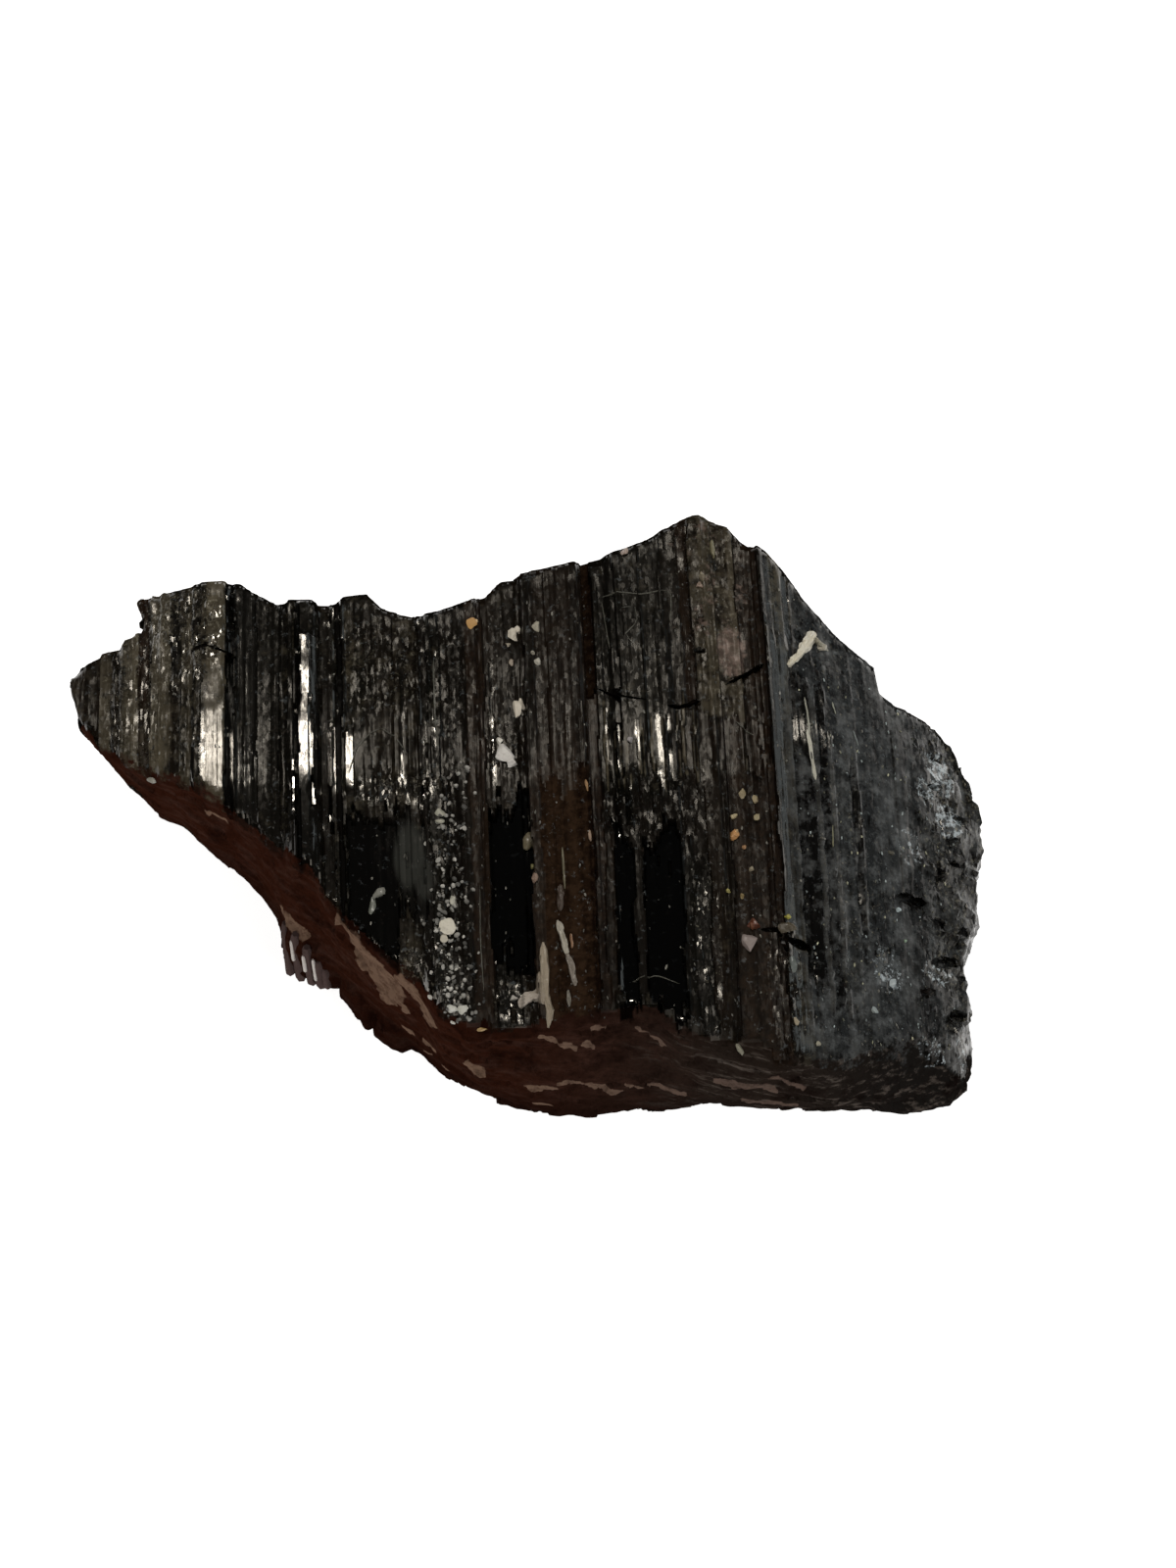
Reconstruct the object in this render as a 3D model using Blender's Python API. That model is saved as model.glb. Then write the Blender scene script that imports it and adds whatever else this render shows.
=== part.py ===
"""A rough piece of black tourmaline, 71 mm wide, lying on a flat break.

It is one thick fragment of a striated crystal. The crystal's long axis runs
along Y, so the flutes of its prism faces run along Y too, on the top. The near
and far ends are breaks across the crystal, and the right-hand end is a blocky
break. The solid is a loft: every bend of every edge below gets its own section
across the stone, and the sections are joined into one closed skin.

Lengths are in millimetres here and become metres when the mesh is made.
"""

import bmesh
import bpy
from mathutils import Matrix, Vector, noise

MM = 0.001

# Edges of the stone, each a list of points along X.
FAR_RIM = [  # (x, y): the upper edge of the far break
    (-35.4, 10.8), (-34.4, 11.6), (-32.7, 12.3), (-31.2, 12.5), (-30.7, 15.8), (-29.9, 16.4),
    (-27.5, 16.3), (-24.9, 16.6), (-22.1, 16.7), (-20.8, 15.6), (-19.1, 14.5), (-14.8, 14.4),
    (-14.0, 15.1), (-12.2, 15.2), (-11.0, 13.8), (-9.9, 13.3), (-8.1, 12.7), (-5.9, 13.4),
    (-3.2, 14.5), (-2.1, 15.9), (-0.5, 16.2), (2.2, 16.8), (4.9, 17.4), (7.5, 18.3),
    (9.3, 19.1), (10.8, 19.7), (12.3, 20.7), (13.6, 20.9), (14.4, 20.4), (15.4, 20.0),
    (16.4, 18.8), (18.3, 18.1), (19.7, 16.7), (21.2, 14.6), (23.5, 12.3), (25.6, 10.9),
    (26.8, 10.1), (27.1, 7.6), (29.8, 7.3), (31.2, 7.1), (32.6, 5.6), (34.3, 3.3),
    (35.0, 1.0), (35.2, -0.9),
]  # fmt: skip
NEAR_RIM = [  # (x, y): the edge where the striated top meets the near break
    (-35.3, 9.0), (-34.5, 6.3), (-32.5, 3.2), (-30.5, 1.5), (-27.6, -0.3), (-24.8, -1.9),
    (-21.6, -4.3), (-20.0, -5.5), (-17.1, -8.3), (-15.5, -9.4), (-13.8, -12.0), (-11.9, -13.7),
    (-9.3, -16.2), (-7.4, -17.6), (-6.1, -20.0), (-3.9, -21.6), (-0.3, -21.4), (2.4, -21.3),
    (4.6, -20.9), (7.4, -20.2), (9.8, -20.8), (11.6, -22.1), (15.8, -23.6), (18.5, -24.3),
    (23.3, -23.6), (27.4, -21.4), (29.5, -20.3), (31.5, -20.0), (33.2, -17.9), (34.9, -6.2),
]  # fmt: skip
NEAR_FOOT = [  # (x, y, z): where the near break is lowest before it turns under the stone
    (-35.3, 9.4, 10.0), (-34.8, 7.8, 9.0), (-33.0, 6.2, 8.0), (-30.9, 3.5, 8.0),
    (-28.6, 1.2, 7.5), (-26.7, 0.6, 7.0), (-25.3, -0.5, 6.0), (-22.7, -2.6, 5.0),
    (-20.8, -3.9, 4.5), (-19.5, -5.9, 4.0), (-18.2, -9.5, 4.0), (-16.1, -10.6, 4.0),
    (-14.0, -12.1, 3.5), (-12.2, -14.3, 3.5), (-8.2, -17.0, 3.5), (-6.3, -18.8, 3.5),
    (-2.9, -20.7, 4.0), (0.7, -22.0, 4.0), (4.6, -22.2, 4.0), (10.5, -22.0, 5.0),
    (14.9, -22.0, 6.0), (19.2, -23.0, 8.0), (26.5, -23.4, 9.0), (29.9, -23.3, 8.0),
    (32.0, -22.7, 7.5), (33.4, -21.3, 7.0), (34.0, -19.2, 6.5), (35.0, -5.0, 5.0),
]  # fmt: skip
CREST = [  # (x, z): the top's height across its flutes
    (-34.9, 12.6), (-33.5, 15.0), (-30.9, 16.3), (-30.5, 17.0), (-27.8, 17.8), (-27.4, 18.7),
    (-25.1, 19.3), (-24.8, 19.9), (-22.6, 20.3), (-22.0, 19.7), (-18.0, 20.3), (-17.5, 21.2),
    (-15.7, 21.2), (-15.2, 20.3), (-8.2, 21.0), (-7.7, 21.6), (-3.4, 21.9), (-3.1, 21.3),
    (-0.2, 21.3), (0.2, 22.2), (4.5, 22.6), (4.8, 21.9), (6.6, 22.0), (7.0, 22.6),
    (14.2, 22.7), (14.6, 22.2), (17.9, 22.4), (18.5, 23.0), (22.2, 20.7), (26.2, 18.0),
    (30.2, 15.0), (33.2, 12.4), (35.2, 9.6),
]  # fmt: skip
UNDERSIDE = [  # (x, z): the height of the underside, flat where the stone rests
    (-34.9, 8.4), (-30.5, 5.0), (-25.3, 1.6), (-21.0, 0.0), (21.0, 0.0), (27.4, 1.2),
    (31.5, 2.4), (35.2, 3.6),
]  # fmt: skip

CREASE_Y = 0.8  # the top is bent along this line, and falls away from it to both rims
CREASE_IN = 0.2  # the least distance from the crease to a rim, as a share of the top's depth
FAR_SLOPE, NEAR_SLOPE = 0.093, 0.096  # how fast it falls to each rim
SHOULDER_SLOPE = 0.064  # how fast it falls in the first half of the way to the far rim
RIM_ROUND = 0.7  # the worn edge at each rim
BENT_AT, BENT = 0.6, 0.55  # a bend on the way to the near rim: its place and its share of the fall
SLANT = 0.045  # the flutes aren't square to X: how far one strays along -X for each millimetre along Y
LEDGE_AT = 0.55  # the ledge on the near break, as a share of the way down to its foot
LEDGE_OUT = 0.5
FAR_FACE_BULGE = 0.9
UNDERCUT = (5.0, 2.4)  # how far the underside's edges lie in from the near foot and the far face
CHIP = 0.55  # roughness of the two breaks
CHIP_SIZE = 4.2
THIN = 18.0  # where the top is less deep than this, the chips and the ledge fade out
SAME_SECTION = 0.12  # bends closer than this share a section

# Two bites out of the stone's edge, seen from above and cut through its full height.
NOTCH = [
    (-29.3, 13.3), (-30.2, 15.6), (-31.0, 18.0), (-37.0, 18.0), (-37.0, 13.4), (-31.3, 12.2),
]  # fmt: skip
HOLLOW = [
    (33.2, -11.8), (33.3, -14.4), (34.2, -17.4), (37.5, -17.0), (37.5, -1.0), (35.3, -2.4),
    (34.3, -5.6), (34.6, -8.2),
]  # fmt: skip
BITE_LOW, BITE_HIGH = -2.0, 30.0


def clear_scene():
    for obj in list(bpy.data.objects):
        bpy.data.objects.remove(obj)


def mixed(a, b, share):
    return a + (b - a) * share


def by_flute(edge):
    """The edge with each x changed to its flute: the x that the flute has where it crosses y = 0."""
    return [(x + SLANT * y, y, *z) for x, y, *z in edge]


def along(edge, flute, part=1):
    """The edge's y (part 1) or z (part 2) on a flute. The edge keeps its end values past its ends."""
    if flute <= edge[0][0]:
        return edge[0][part]
    for before, after in zip(edge, edge[1:]):
        if flute <= after[0]:
            share = (flute - before[0]) / (after[0] - before[0])
            return mixed(before[part], after[part], share)
    return edge[-1][part]


def chipped(x, y, z):
    """How far a broken face stands out or in at a point."""
    return CHIP * noise.noise(Vector((x, y, z)) / CHIP_SIZE)


def section(x):
    """The outline of the stone cut along flute x, as (y, z) points from the far rim over the top."""
    crest = along(CREST, x)
    base = along(UNDERSIDE, x)
    far = along(by_flute(FAR_RIM), x)
    near = along(by_flute(NEAR_RIM), x)
    foot, foot_z = along(by_flute(NEAR_FOOT), x), along(by_flute(NEAR_FOOT), x, 2)
    depth = far - near
    worn = min(RIM_ROUND, depth / 5)
    full = min(1, depth / THIN)
    crease = min(max(CREASE_Y, near + CREASE_IN * depth), far - CREASE_IN * depth)
    shoulder = mixed(crease, far, 0.5)
    far_z, near_z = crest - FAR_SLOPE * (far - crease), crest - NEAR_SLOPE * (crease - near)

    top = [
        (far, far_z - worn),
        (far - worn, far_z),
        (shoulder, crest - SHOULDER_SLOPE * (shoulder - crease)),
        (crease, crest),
        (mixed(crease, near, BENT_AT), mixed(crest, near_z, BENT)),
        (near + worn, near_z),
        (near, near_z - worn),
    ]
    ledge_z = mixed(near_z, foot_z, LEDGE_AT)
    upper_z = mixed(near_z, foot_z, 0.25)
    upper_y = mixed(near, foot, 0.25)
    ledge_y = mixed(near, foot, LEDGE_AT) - LEDGE_OUT * full
    near_break = [
        (upper_y + full * chipped(x, upper_y, upper_z), upper_z),
        (ledge_y + full * chipped(x, ledge_y, ledge_z), ledge_z),
        (foot, foot_z),
    ]
    near_in, far_in = (min(inset, depth / 4) for inset in UNDERCUT)
    below = [
        (foot + near_in * 0.45, mixed(foot_z, base, 0.75)),
        (foot + near_in, base),
        (mixed(foot, far, 0.5), base),
        (far - far_in, base),
    ]
    low_z, high_z = mixed(base, far_z, 0.22), mixed(base, far_z, 0.6)
    far_break = [
        (far - far_in * 0.2 + full * chipped(x, far, low_z), low_z),
        (far + full * (FAR_FACE_BULGE + chipped(x, far, high_z)), high_z),
    ]
    return top + near_break + below + far_break


def section_places():
    """A flute for every bend of every edge."""
    edges = (by_flute(FAR_RIM), by_flute(NEAR_RIM), by_flute(NEAR_FOOT), CREST, UNDERSIDE)
    places = []
    for x in sorted(point[0] for edge in edges for point in edge):
        if not places or x - places[-1] > SAME_SECTION:
            places.append(x)
    return places


def loft():
    """The skin through all the sections, closed by a face at each end."""
    shape = bmesh.new()
    rings = [
        [shape.verts.new(Vector((x - SLANT * y, y, z)) * MM) for y, z in section(x)]
        for x in section_places()
    ]
    for ring, following in zip(rings, rings[1:]):
        for i in range(len(ring)):
            j = (i + 1) % len(ring)
            shape.faces.new((ring[i], following[i], following[j], ring[j]))
    ends = [shape.faces.new(rings[0]), shape.faces.new(reversed(rings[-1]))]
    bmesh.ops.poke(shape, faces=ends)
    bmesh.ops.triangulate(shape, faces=shape.faces[:])
    bmesh.ops.recalc_face_normals(shape, faces=shape.faces[:])
    return shape


def bite(outline):
    """A prism on the outline, taller than the stone."""
    prism = bmesh.new()
    base = prism.faces.new([prism.verts.new(Vector((x, y, BITE_LOW)) * MM) for x, y in outline])
    raised = bmesh.ops.extrude_face_region(prism, geom=[base])["geom"]
    moved = [v for v in raised if isinstance(v, bmesh.types.BMVert)]
    bmesh.ops.translate(prism, verts=moved, vec=(0, 0, (BITE_HIGH - BITE_LOW) * MM))
    bmesh.ops.recalc_face_normals(prism, faces=prism.faces[:])
    return prism


def as_object(name, shape):
    mesh = bpy.data.meshes.new(name)
    shape.to_mesh(mesh)
    shape.free()
    obj = bpy.data.objects.new(name, mesh)
    bpy.context.scene.collection.objects.link(obj)
    return obj


def centring(obj):
    """The move that brings the middle of the object's box over the origin, with its base at z = 0."""
    corners = [Vector(corner) for corner in obj.bound_box]
    low = Vector(min(c[k] for c in corners) for k in range(3))
    high = Vector(max(c[k] for c in corners) for k in range(3))
    middle = (low + high) / 2
    return Vector((-middle.x, -middle.y, -low.z))


def tourmaline():
    """Black, with a glassy lustre."""
    material = bpy.data.materials.new("black_tourmaline")
    material.use_nodes = True
    shader = material.node_tree.nodes["Principled BSDF"]
    shader.inputs["Base Color"].default_value = (0.013, 0.012, 0.010, 1)
    shader.inputs["Roughness"].default_value = 0.35
    shader.inputs["Metallic"].default_value = 0.0
    shader.inputs["IOR"].default_value = 1.63
    return material


def cut(obj, cutter):
    cutter.hide_render = True
    cutter.display_type = "WIRE"
    boolean = obj.modifiers.new(cutter.name, "BOOLEAN")
    boolean.operation = "DIFFERENCE"
    boolean.solver = "EXACT"
    boolean.object = cutter


def main():
    clear_scene()
    stone = as_object("tourmaline_crystal", loft())
    stone.data.materials.append(tourmaline())
    cutters = [as_object("notch_cutter", bite(NOTCH)), as_object("hollow_cutter", bite(HOLLOW))]
    move = centring(stone)
    for obj in [stone, *cutters]:
        obj.data.transform(Matrix.Translation(move))
    for cutter in cutters:
        cut(stone, cutter)


main()
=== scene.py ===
import itertools
import math

import bpy
import numpy
from mathutils import Matrix, Vector
from mathutils.bvhtree import BVHTree


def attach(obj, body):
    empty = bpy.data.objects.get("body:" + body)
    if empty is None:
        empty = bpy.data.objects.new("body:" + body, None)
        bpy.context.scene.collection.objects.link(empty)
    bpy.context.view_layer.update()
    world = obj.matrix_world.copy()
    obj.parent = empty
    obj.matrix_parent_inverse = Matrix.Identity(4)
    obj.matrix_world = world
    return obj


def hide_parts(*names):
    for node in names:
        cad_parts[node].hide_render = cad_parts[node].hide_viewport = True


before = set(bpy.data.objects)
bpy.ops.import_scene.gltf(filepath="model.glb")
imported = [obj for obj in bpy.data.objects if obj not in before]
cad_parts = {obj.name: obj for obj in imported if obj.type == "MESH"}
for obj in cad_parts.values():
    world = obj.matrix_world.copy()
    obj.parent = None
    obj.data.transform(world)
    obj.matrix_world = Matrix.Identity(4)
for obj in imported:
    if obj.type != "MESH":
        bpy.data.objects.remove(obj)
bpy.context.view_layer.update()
scene = bpy.context.scene
print("frame loaded")


def deselectAll():
    if bpy.context.mode != "OBJECT":
        bpy.ops.object.mode_set(mode="OBJECT")
    bpy.ops.object.select_all(action="DESELECT")


def pick(piece):
    deselectAll()
    piece.select_set(True)
    bpy.context.view_layer.objects.active = piece


def applyModifiers(piece):
    pick(piece)
    for modifier in list(piece.modifiers):
        bpy.ops.object.modifier_apply(modifier=modifier.name)


def ramp(values, low, high):  # 0 below low, 1 above high, smooth between
    t = numpy.clip((values - low) / (high - low), 0, 1)
    return t * t * (3 - 2 * t)


def readPoints(piece):
    mesh = piece.data
    points = numpy.empty(len(mesh.vertices) * 3)
    normals = numpy.empty(len(mesh.vertices) * 3)
    mesh.vertices.foreach_get("co", points)
    mesh.vertices.foreach_get("normal", normals)
    return points.reshape(-1, 3), normals.reshape(-1, 3)


def writePoints(piece, points):
    piece.data.vertices.foreach_set("co", points.ravel())
    piece.data.update()


def selectFaces(piece, chosen):
    pick(piece)
    bpy.ops.object.mode_set(mode="EDIT")
    bpy.ops.mesh.select_mode(type="FACE")
    bpy.ops.mesh.select_all(action="DESELECT")
    bpy.ops.object.mode_set(mode="OBJECT")
    piece.data.polygons.foreach_set("select", chosen)


def faceNormals(piece):
    values = numpy.empty(len(piece.data.polygons) * 3)
    piece.data.polygons.foreach_get("normal", values)
    return values.reshape(-1, 3)


def countTriangles(piece):
    return sum(len(face.vertices) - 2 for face in piece.data.polygons)


def turnFlat(points, degrees):  # x and y turned about Z
    turn = math.radians(degrees)
    x = points[:, 0] * math.cos(turn) - points[:, 1] * math.sin(turn)
    y = points[:, 0] * math.sin(turn) + points[:, 1] * math.cos(turn)
    return x, y


def copyPiece(piece):  # a copy with a mesh of its own
    copied = piece.copy()
    copied.data = copied.data.copy()
    scene.collection.objects.link(copied)
    return copied


def joinAll(pieces, name):
    deselectAll()
    for piece in pieces:
        piece.select_set(True)
    bpy.context.view_layer.objects.active = pieces[0]
    if len(pieces) > 1:
        bpy.ops.object.join()
    pieces[0].name = name
    pieces[0].data.name = name
    return pieces[0]


def hashed(*keys):  # a repeatable number from 0 to 1 for each row of whole-number keys
    total = numpy.full(numpy.shape(keys[0]), 88172645463325252, dtype=numpy.uint64)
    for key in keys:
        total ^= numpy.asarray(key).astype(numpy.int64).astype(numpy.uint64)
        total *= numpy.uint64(0x9E3779B97F4A7C15)
        total ^= total >> numpy.uint64(29)
        total *= numpy.uint64(0xBF58476D1CE4E5B9)
        total ^= total >> numpy.uint64(32)
    return (total >> numpy.uint64(11)).astype(float) / 2.0**53


def softNoise(points, size, seed):  # smooth, about -1 to 1
    scaled = points / size
    home = numpy.floor(scaled)
    part = scaled - home
    part = part * part * (3 - 2 * part)
    total = numpy.zeros(len(points))
    for corner in itertools.product((0, 1), repeat=3):
        cell = home + corner
        share = numpy.prod(numpy.where(corner, part, 1 - part), axis=1)
        total += share * hashed(cell[:, 0], cell[:, 1], cell[:, 2], seed)
    return total * 2 - 1


def facets(points, size, seed, step, lean):  # broken rock: each cell has its own level and lean
    size = numpy.array(size)
    scaled = points / size
    home = numpy.floor(scaled)
    best = numpy.full(len(points), 1e9)
    height = numpy.zeros(len(points))
    for neighbour in itertools.product((-1, 0, 1), repeat=3):
        cell = home + neighbour
        keys = (cell[:, 0], cell[:, 1], cell[:, 2])
        spot = numpy.stack([hashed(*keys, seed + k) for k in range(3)], axis=1)
        away = scaled - cell - spot
        far = (away**2).sum(axis=1)
        tilt = numpy.stack([hashed(*keys, seed + 3 + k) - 0.5 for k in range(3)], axis=1)
        level = (hashed(*keys, seed + 6) - 0.5) * step
        level += (away * size * tilt).sum(axis=1) * 2 * lean
        height = numpy.where(far < best, level, height)
        best = numpy.minimum(best, far)
    return height


def strips(flute, y, seed, width, level, lean, length):
    # long strips side by side, each with its own level and roll, and broken across here and there
    rng = numpy.random.default_rng(seed)
    edges = -42 + numpy.cumsum(rng.uniform(width[0], width[1], int(84 / width[0])))
    index = numpy.searchsorted(edges, flute)
    middle = (edges[index - 1] + edges[index]) / 2
    own = length * (0.5 + hashed(index, seed))
    part = numpy.floor(y / own + 7 * hashed(index, seed + 1))
    rise = (hashed(index, part, seed + 2) - 0.5) * 2 * level
    roll = (hashed(index, part, seed + 3) - 0.5) * 2 * math.tan(math.radians(lean))
    return rise + (flute - middle) * roll, index


# The stone's skin is worked in millimetres, with its flutes turned to run straight along Y.
skinValues = {
    "slant": 0.045,  # how far a flute strays along -X for each millimetre along Y
    "voxel": 0.132,
    "squeezeY": 0.30,  # the grid is this much coarser along the flutes
    "squeezeZ": 0.36,
    "keepUnder": 0.10,  # share of the faces kept on the underside
    "keepFar": 0.35,  # and on the far break
    "mergeWithin": 0.000001,
    "smoothAngle": 22,
}

straighten = Matrix.Identity(4)
straighten[0][1] = skinValues["slant"]
toWork = straighten @ Matrix.Diagonal((1000, 1000, 1000, 1))
fromWork = toWork.inverted()


def thinOut(piece, chosen, keep):
    selectFaces(piece, chosen)
    bpy.ops.object.mode_set(mode="EDIT")
    bpy.ops.mesh.decimate(ratio=keep)
    bpy.ops.object.mode_set(mode="OBJECT")


def startSkin():
    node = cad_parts["tourmaline_crystal"]
    skin = bpy.data.objects.new("crystal_skin", node.data.copy())
    scene.collection.objects.link(skin)
    skin.data.materials.clear()
    pick(skin)
    bpy.ops.object.mode_set(mode="EDIT")
    bpy.ops.mesh.select_all(action="SELECT")
    bpy.ops.mesh.remove_doubles(threshold=skinValues["mergeWithin"])
    bpy.ops.object.mode_set(mode="OBJECT")
    skin.data.transform(toWork)
    squeeze = Matrix.Diagonal((1, skinValues["squeezeY"], skinValues["squeezeZ"], 1))
    skin.data.transform(squeeze)
    remesh = skin.modifiers.new("remesh", "REMESH")
    remesh.mode = "VOXEL"
    remesh.voxel_size = skinValues["voxel"]
    applyModifiers(skin)
    skin.data.transform(squeeze.inverted())
    normals = faceNormals(skin)
    thinOut(skin, normals[:, 2] < -0.6, skinValues["keepUnder"])
    normals = faceNormals(skin)
    thinOut(skin, (normals[:, 1] > 0.6) & (normals[:, 2] < 0.5), skinValues["keepFar"])
    return skin


skin = startSkin()
print("skin remeshed", countTriangles(skin))


def heightFinder(piece):  # finds the top from above and the near break from in front
    corners = [vertex.co.copy() for vertex in piece.data.vertices]
    tree = BVHTree.FromPolygons(corners, [tuple(face.vertices) for face in piece.data.polygons])
    outside = 60

    def surface(flute, y):
        place, normal, *_ = tree.ray_cast(Vector((flute, y, outside)), Vector((0, 0, -1)))
        return (place.z, normal) if place else (0.0, Vector((0, 0, 1)))

    def nearWall(flute, z):
        place, normal, *_ = tree.ray_cast(Vector((flute, -outside, z)), Vector((0, 1, 0)))
        return (place.y, normal) if place else (0.0, Vector((0, -1, 0)))

    return surface, nearWall


def addBlock(cuts):  # a cube of many small faces, from -1 to 1
    deselectAll()
    bpy.ops.mesh.primitive_cube_add(size=2)
    block = bpy.context.active_object
    bpy.ops.object.mode_set(mode="EDIT")
    bpy.ops.mesh.subdivide(number_cuts=cuts)
    bpy.ops.object.mode_set(mode="OBJECT")
    return block


def followPath(block, path, width, low, high, surface, narrow=0.0, ends=0.15, rough=0.0, seed=1):
    # bends a block along a path on the stone: low and high are measured from the surface
    points, _ = readPoints(block)
    path = numpy.array(path)
    steps = numpy.concatenate([[0], numpy.cumsum(numpy.hypot(*numpy.diff(path, axis=0).T))])
    along = (points[:, 0] + 1) / 2 * steps[-1]
    x = numpy.interp(along, steps, path[:, 0])
    y = numpy.interp(along, steps, path[:, 1])
    step = 0.05
    near = numpy.clip(along, step, steps[-1] - step)
    ahead, behind = near + step, near - step
    dx = numpy.interp(ahead, steps, path[:, 0]) - numpy.interp(behind, steps, path[:, 0])
    dy = numpy.interp(ahead, steps, path[:, 1]) - numpy.interp(behind, steps, path[:, 1])
    size = numpy.hypot(dx, dy)
    taper = ends + (1 - ends) * numpy.sqrt(numpy.clip(1 - numpy.abs(points[:, 0]) ** 3, 0, 1))
    wander = numpy.stack([along * 1.7, points[:, 1], points[:, 2]], axis=1)
    taper *= 1 + rough * softNoise(wander, 0.6, seed)
    across = points[:, 1] * width / 2 * taper * (1 - narrow * (points[:, 2] + 1) / 2)
    x, y = x - dy / size * across, y + dx / size * across
    level = numpy.array([surface(a, b)[0] for a, b in zip(x, y)])
    rise = (low + (high - low) * (points[:, 2] + 1) / 2) * numpy.where(points[:, 2] > 0, taper, 1)
    writePoints(block, numpy.stack([x, y, level + rise], axis=1))


# Cracks and pits are cut before the surface is worked.
crackValues = {
    "cracks": [  # path of (flute, y), width, depth
        ([(-24.9, 11.2), (-24.2, 11.5), (-23.4, 11.4), (-22.5, 11.0), (-21.7, 10.9)], 0.20, 0.7),
        ([(5.6, 6.8), (6.3, 6.4), (7.4, 5.8), (8.4, 5.6), (9.4, 5.5)], 0.17, 0.7),
        ([(10.8, 4.9), (11.6, 4.8), (12.6, 5.1), (13.4, 5.4)], 0.28, 0.8),
        ([(15.3, 6.9), (16.2, 7.5), (17.3, 8.2), (18.1, 8.5)], 0.18, 0.7),
        ([(27.2, -8.1), (28.0, -7.7), (28.8, -7.8), (29.7, -7.6)], 0.55, 0.9),
        ([(29.9, -12.3), (31.0, -11.8), (32.0, -11.5)], 0.50, 0.8),
    ],
    "pits": [  # flute, y, across, along, depth, turn in degrees
        (19.5, -13.7, 2.3, 0.80, 1.5, -6),
        (17.6, -12.6, 1.7, 0.35, 1.0, -4),
        (30.6, -9.0, 1.1, 0.40, 0.8, -10),
        (31.4, 2.2, 2.2, 0.40, 0.8, 14),
        (32.6, -1.6, 1.6, 0.45, 0.7, 16),
        (31.2, -4.6, 1.0, 0.30, 0.5, 10),
        (29.4, -14.6, 1.6, 0.40, 0.6, 18),
        (32.0, -15.6, 1.8, 0.55, 0.7, 8),
        (13.6, 9.7, 0.8, 0.40, 0.7, 0),
        (33.4, 0.4, 1.7, 0.42, 0.7, 12),
        (32.5, -3.6, 1.5, 0.38, 0.6, 12),
        (33.0, -8.8, 1.6, 0.45, 0.7, 6),
        (32.6, -12.6, 1.4, 0.36, 0.6, 10),
    ],
    "flare": -0.5,  # a crack is wider at its mouth
    "ends": 0.05,
    "roughness": 0.5,
    "mouth": 0.6,  # how far a cutter stands above the surface
    "pitUneven": 0.35,
    "pitMouth": 0.1,
}


def cutCracks(skin):
    values = crackValues
    surface, _ = heightFinder(skin)
    cutters = []
    for k, (path, width, depth) in enumerate(values["cracks"]):
        block = addBlock(9)
        shape = (values["flare"], values["ends"], values["roughness"], k)
        followPath(block, path, width, -depth, values["mouth"], surface, *shape)
        cutters.append(block)
    for k, (flute, y, across, along, depth, turn) in enumerate(values["pits"]):
        deselectAll()
        bpy.ops.mesh.primitive_ico_sphere_add(subdivisions=3, radius=1)
        pit = bpy.context.active_object
        points, _ = readPoints(pit)
        points *= 1 + values["pitUneven"] * softNoise(points + k * 9, 0.7, k)[:, None]
        points *= (across / 2, along / 2, depth)
        pitX, pitY = turnFlat(points, turn)
        level = surface(flute, y)[0] + values["pitMouth"]
        writePoints(pit, numpy.stack([pitX + flute, pitY + y, points[:, 2] + level], axis=1))
        cutters.append(pit)
    cutter = joinAll(cutters, "crack_cutter")
    cut = skin.modifiers.new("cracks", "BOOLEAN")
    cut.operation = "DIFFERENCE"
    cut.solver = "MANIFOLD"
    cut.object = cutter
    applyModifiers(skin)
    bpy.data.objects.remove(cutter)
    skin.data.materials.clear()


cutCracks(skin)
print("cracks cut", countTriangles(skin))

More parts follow.
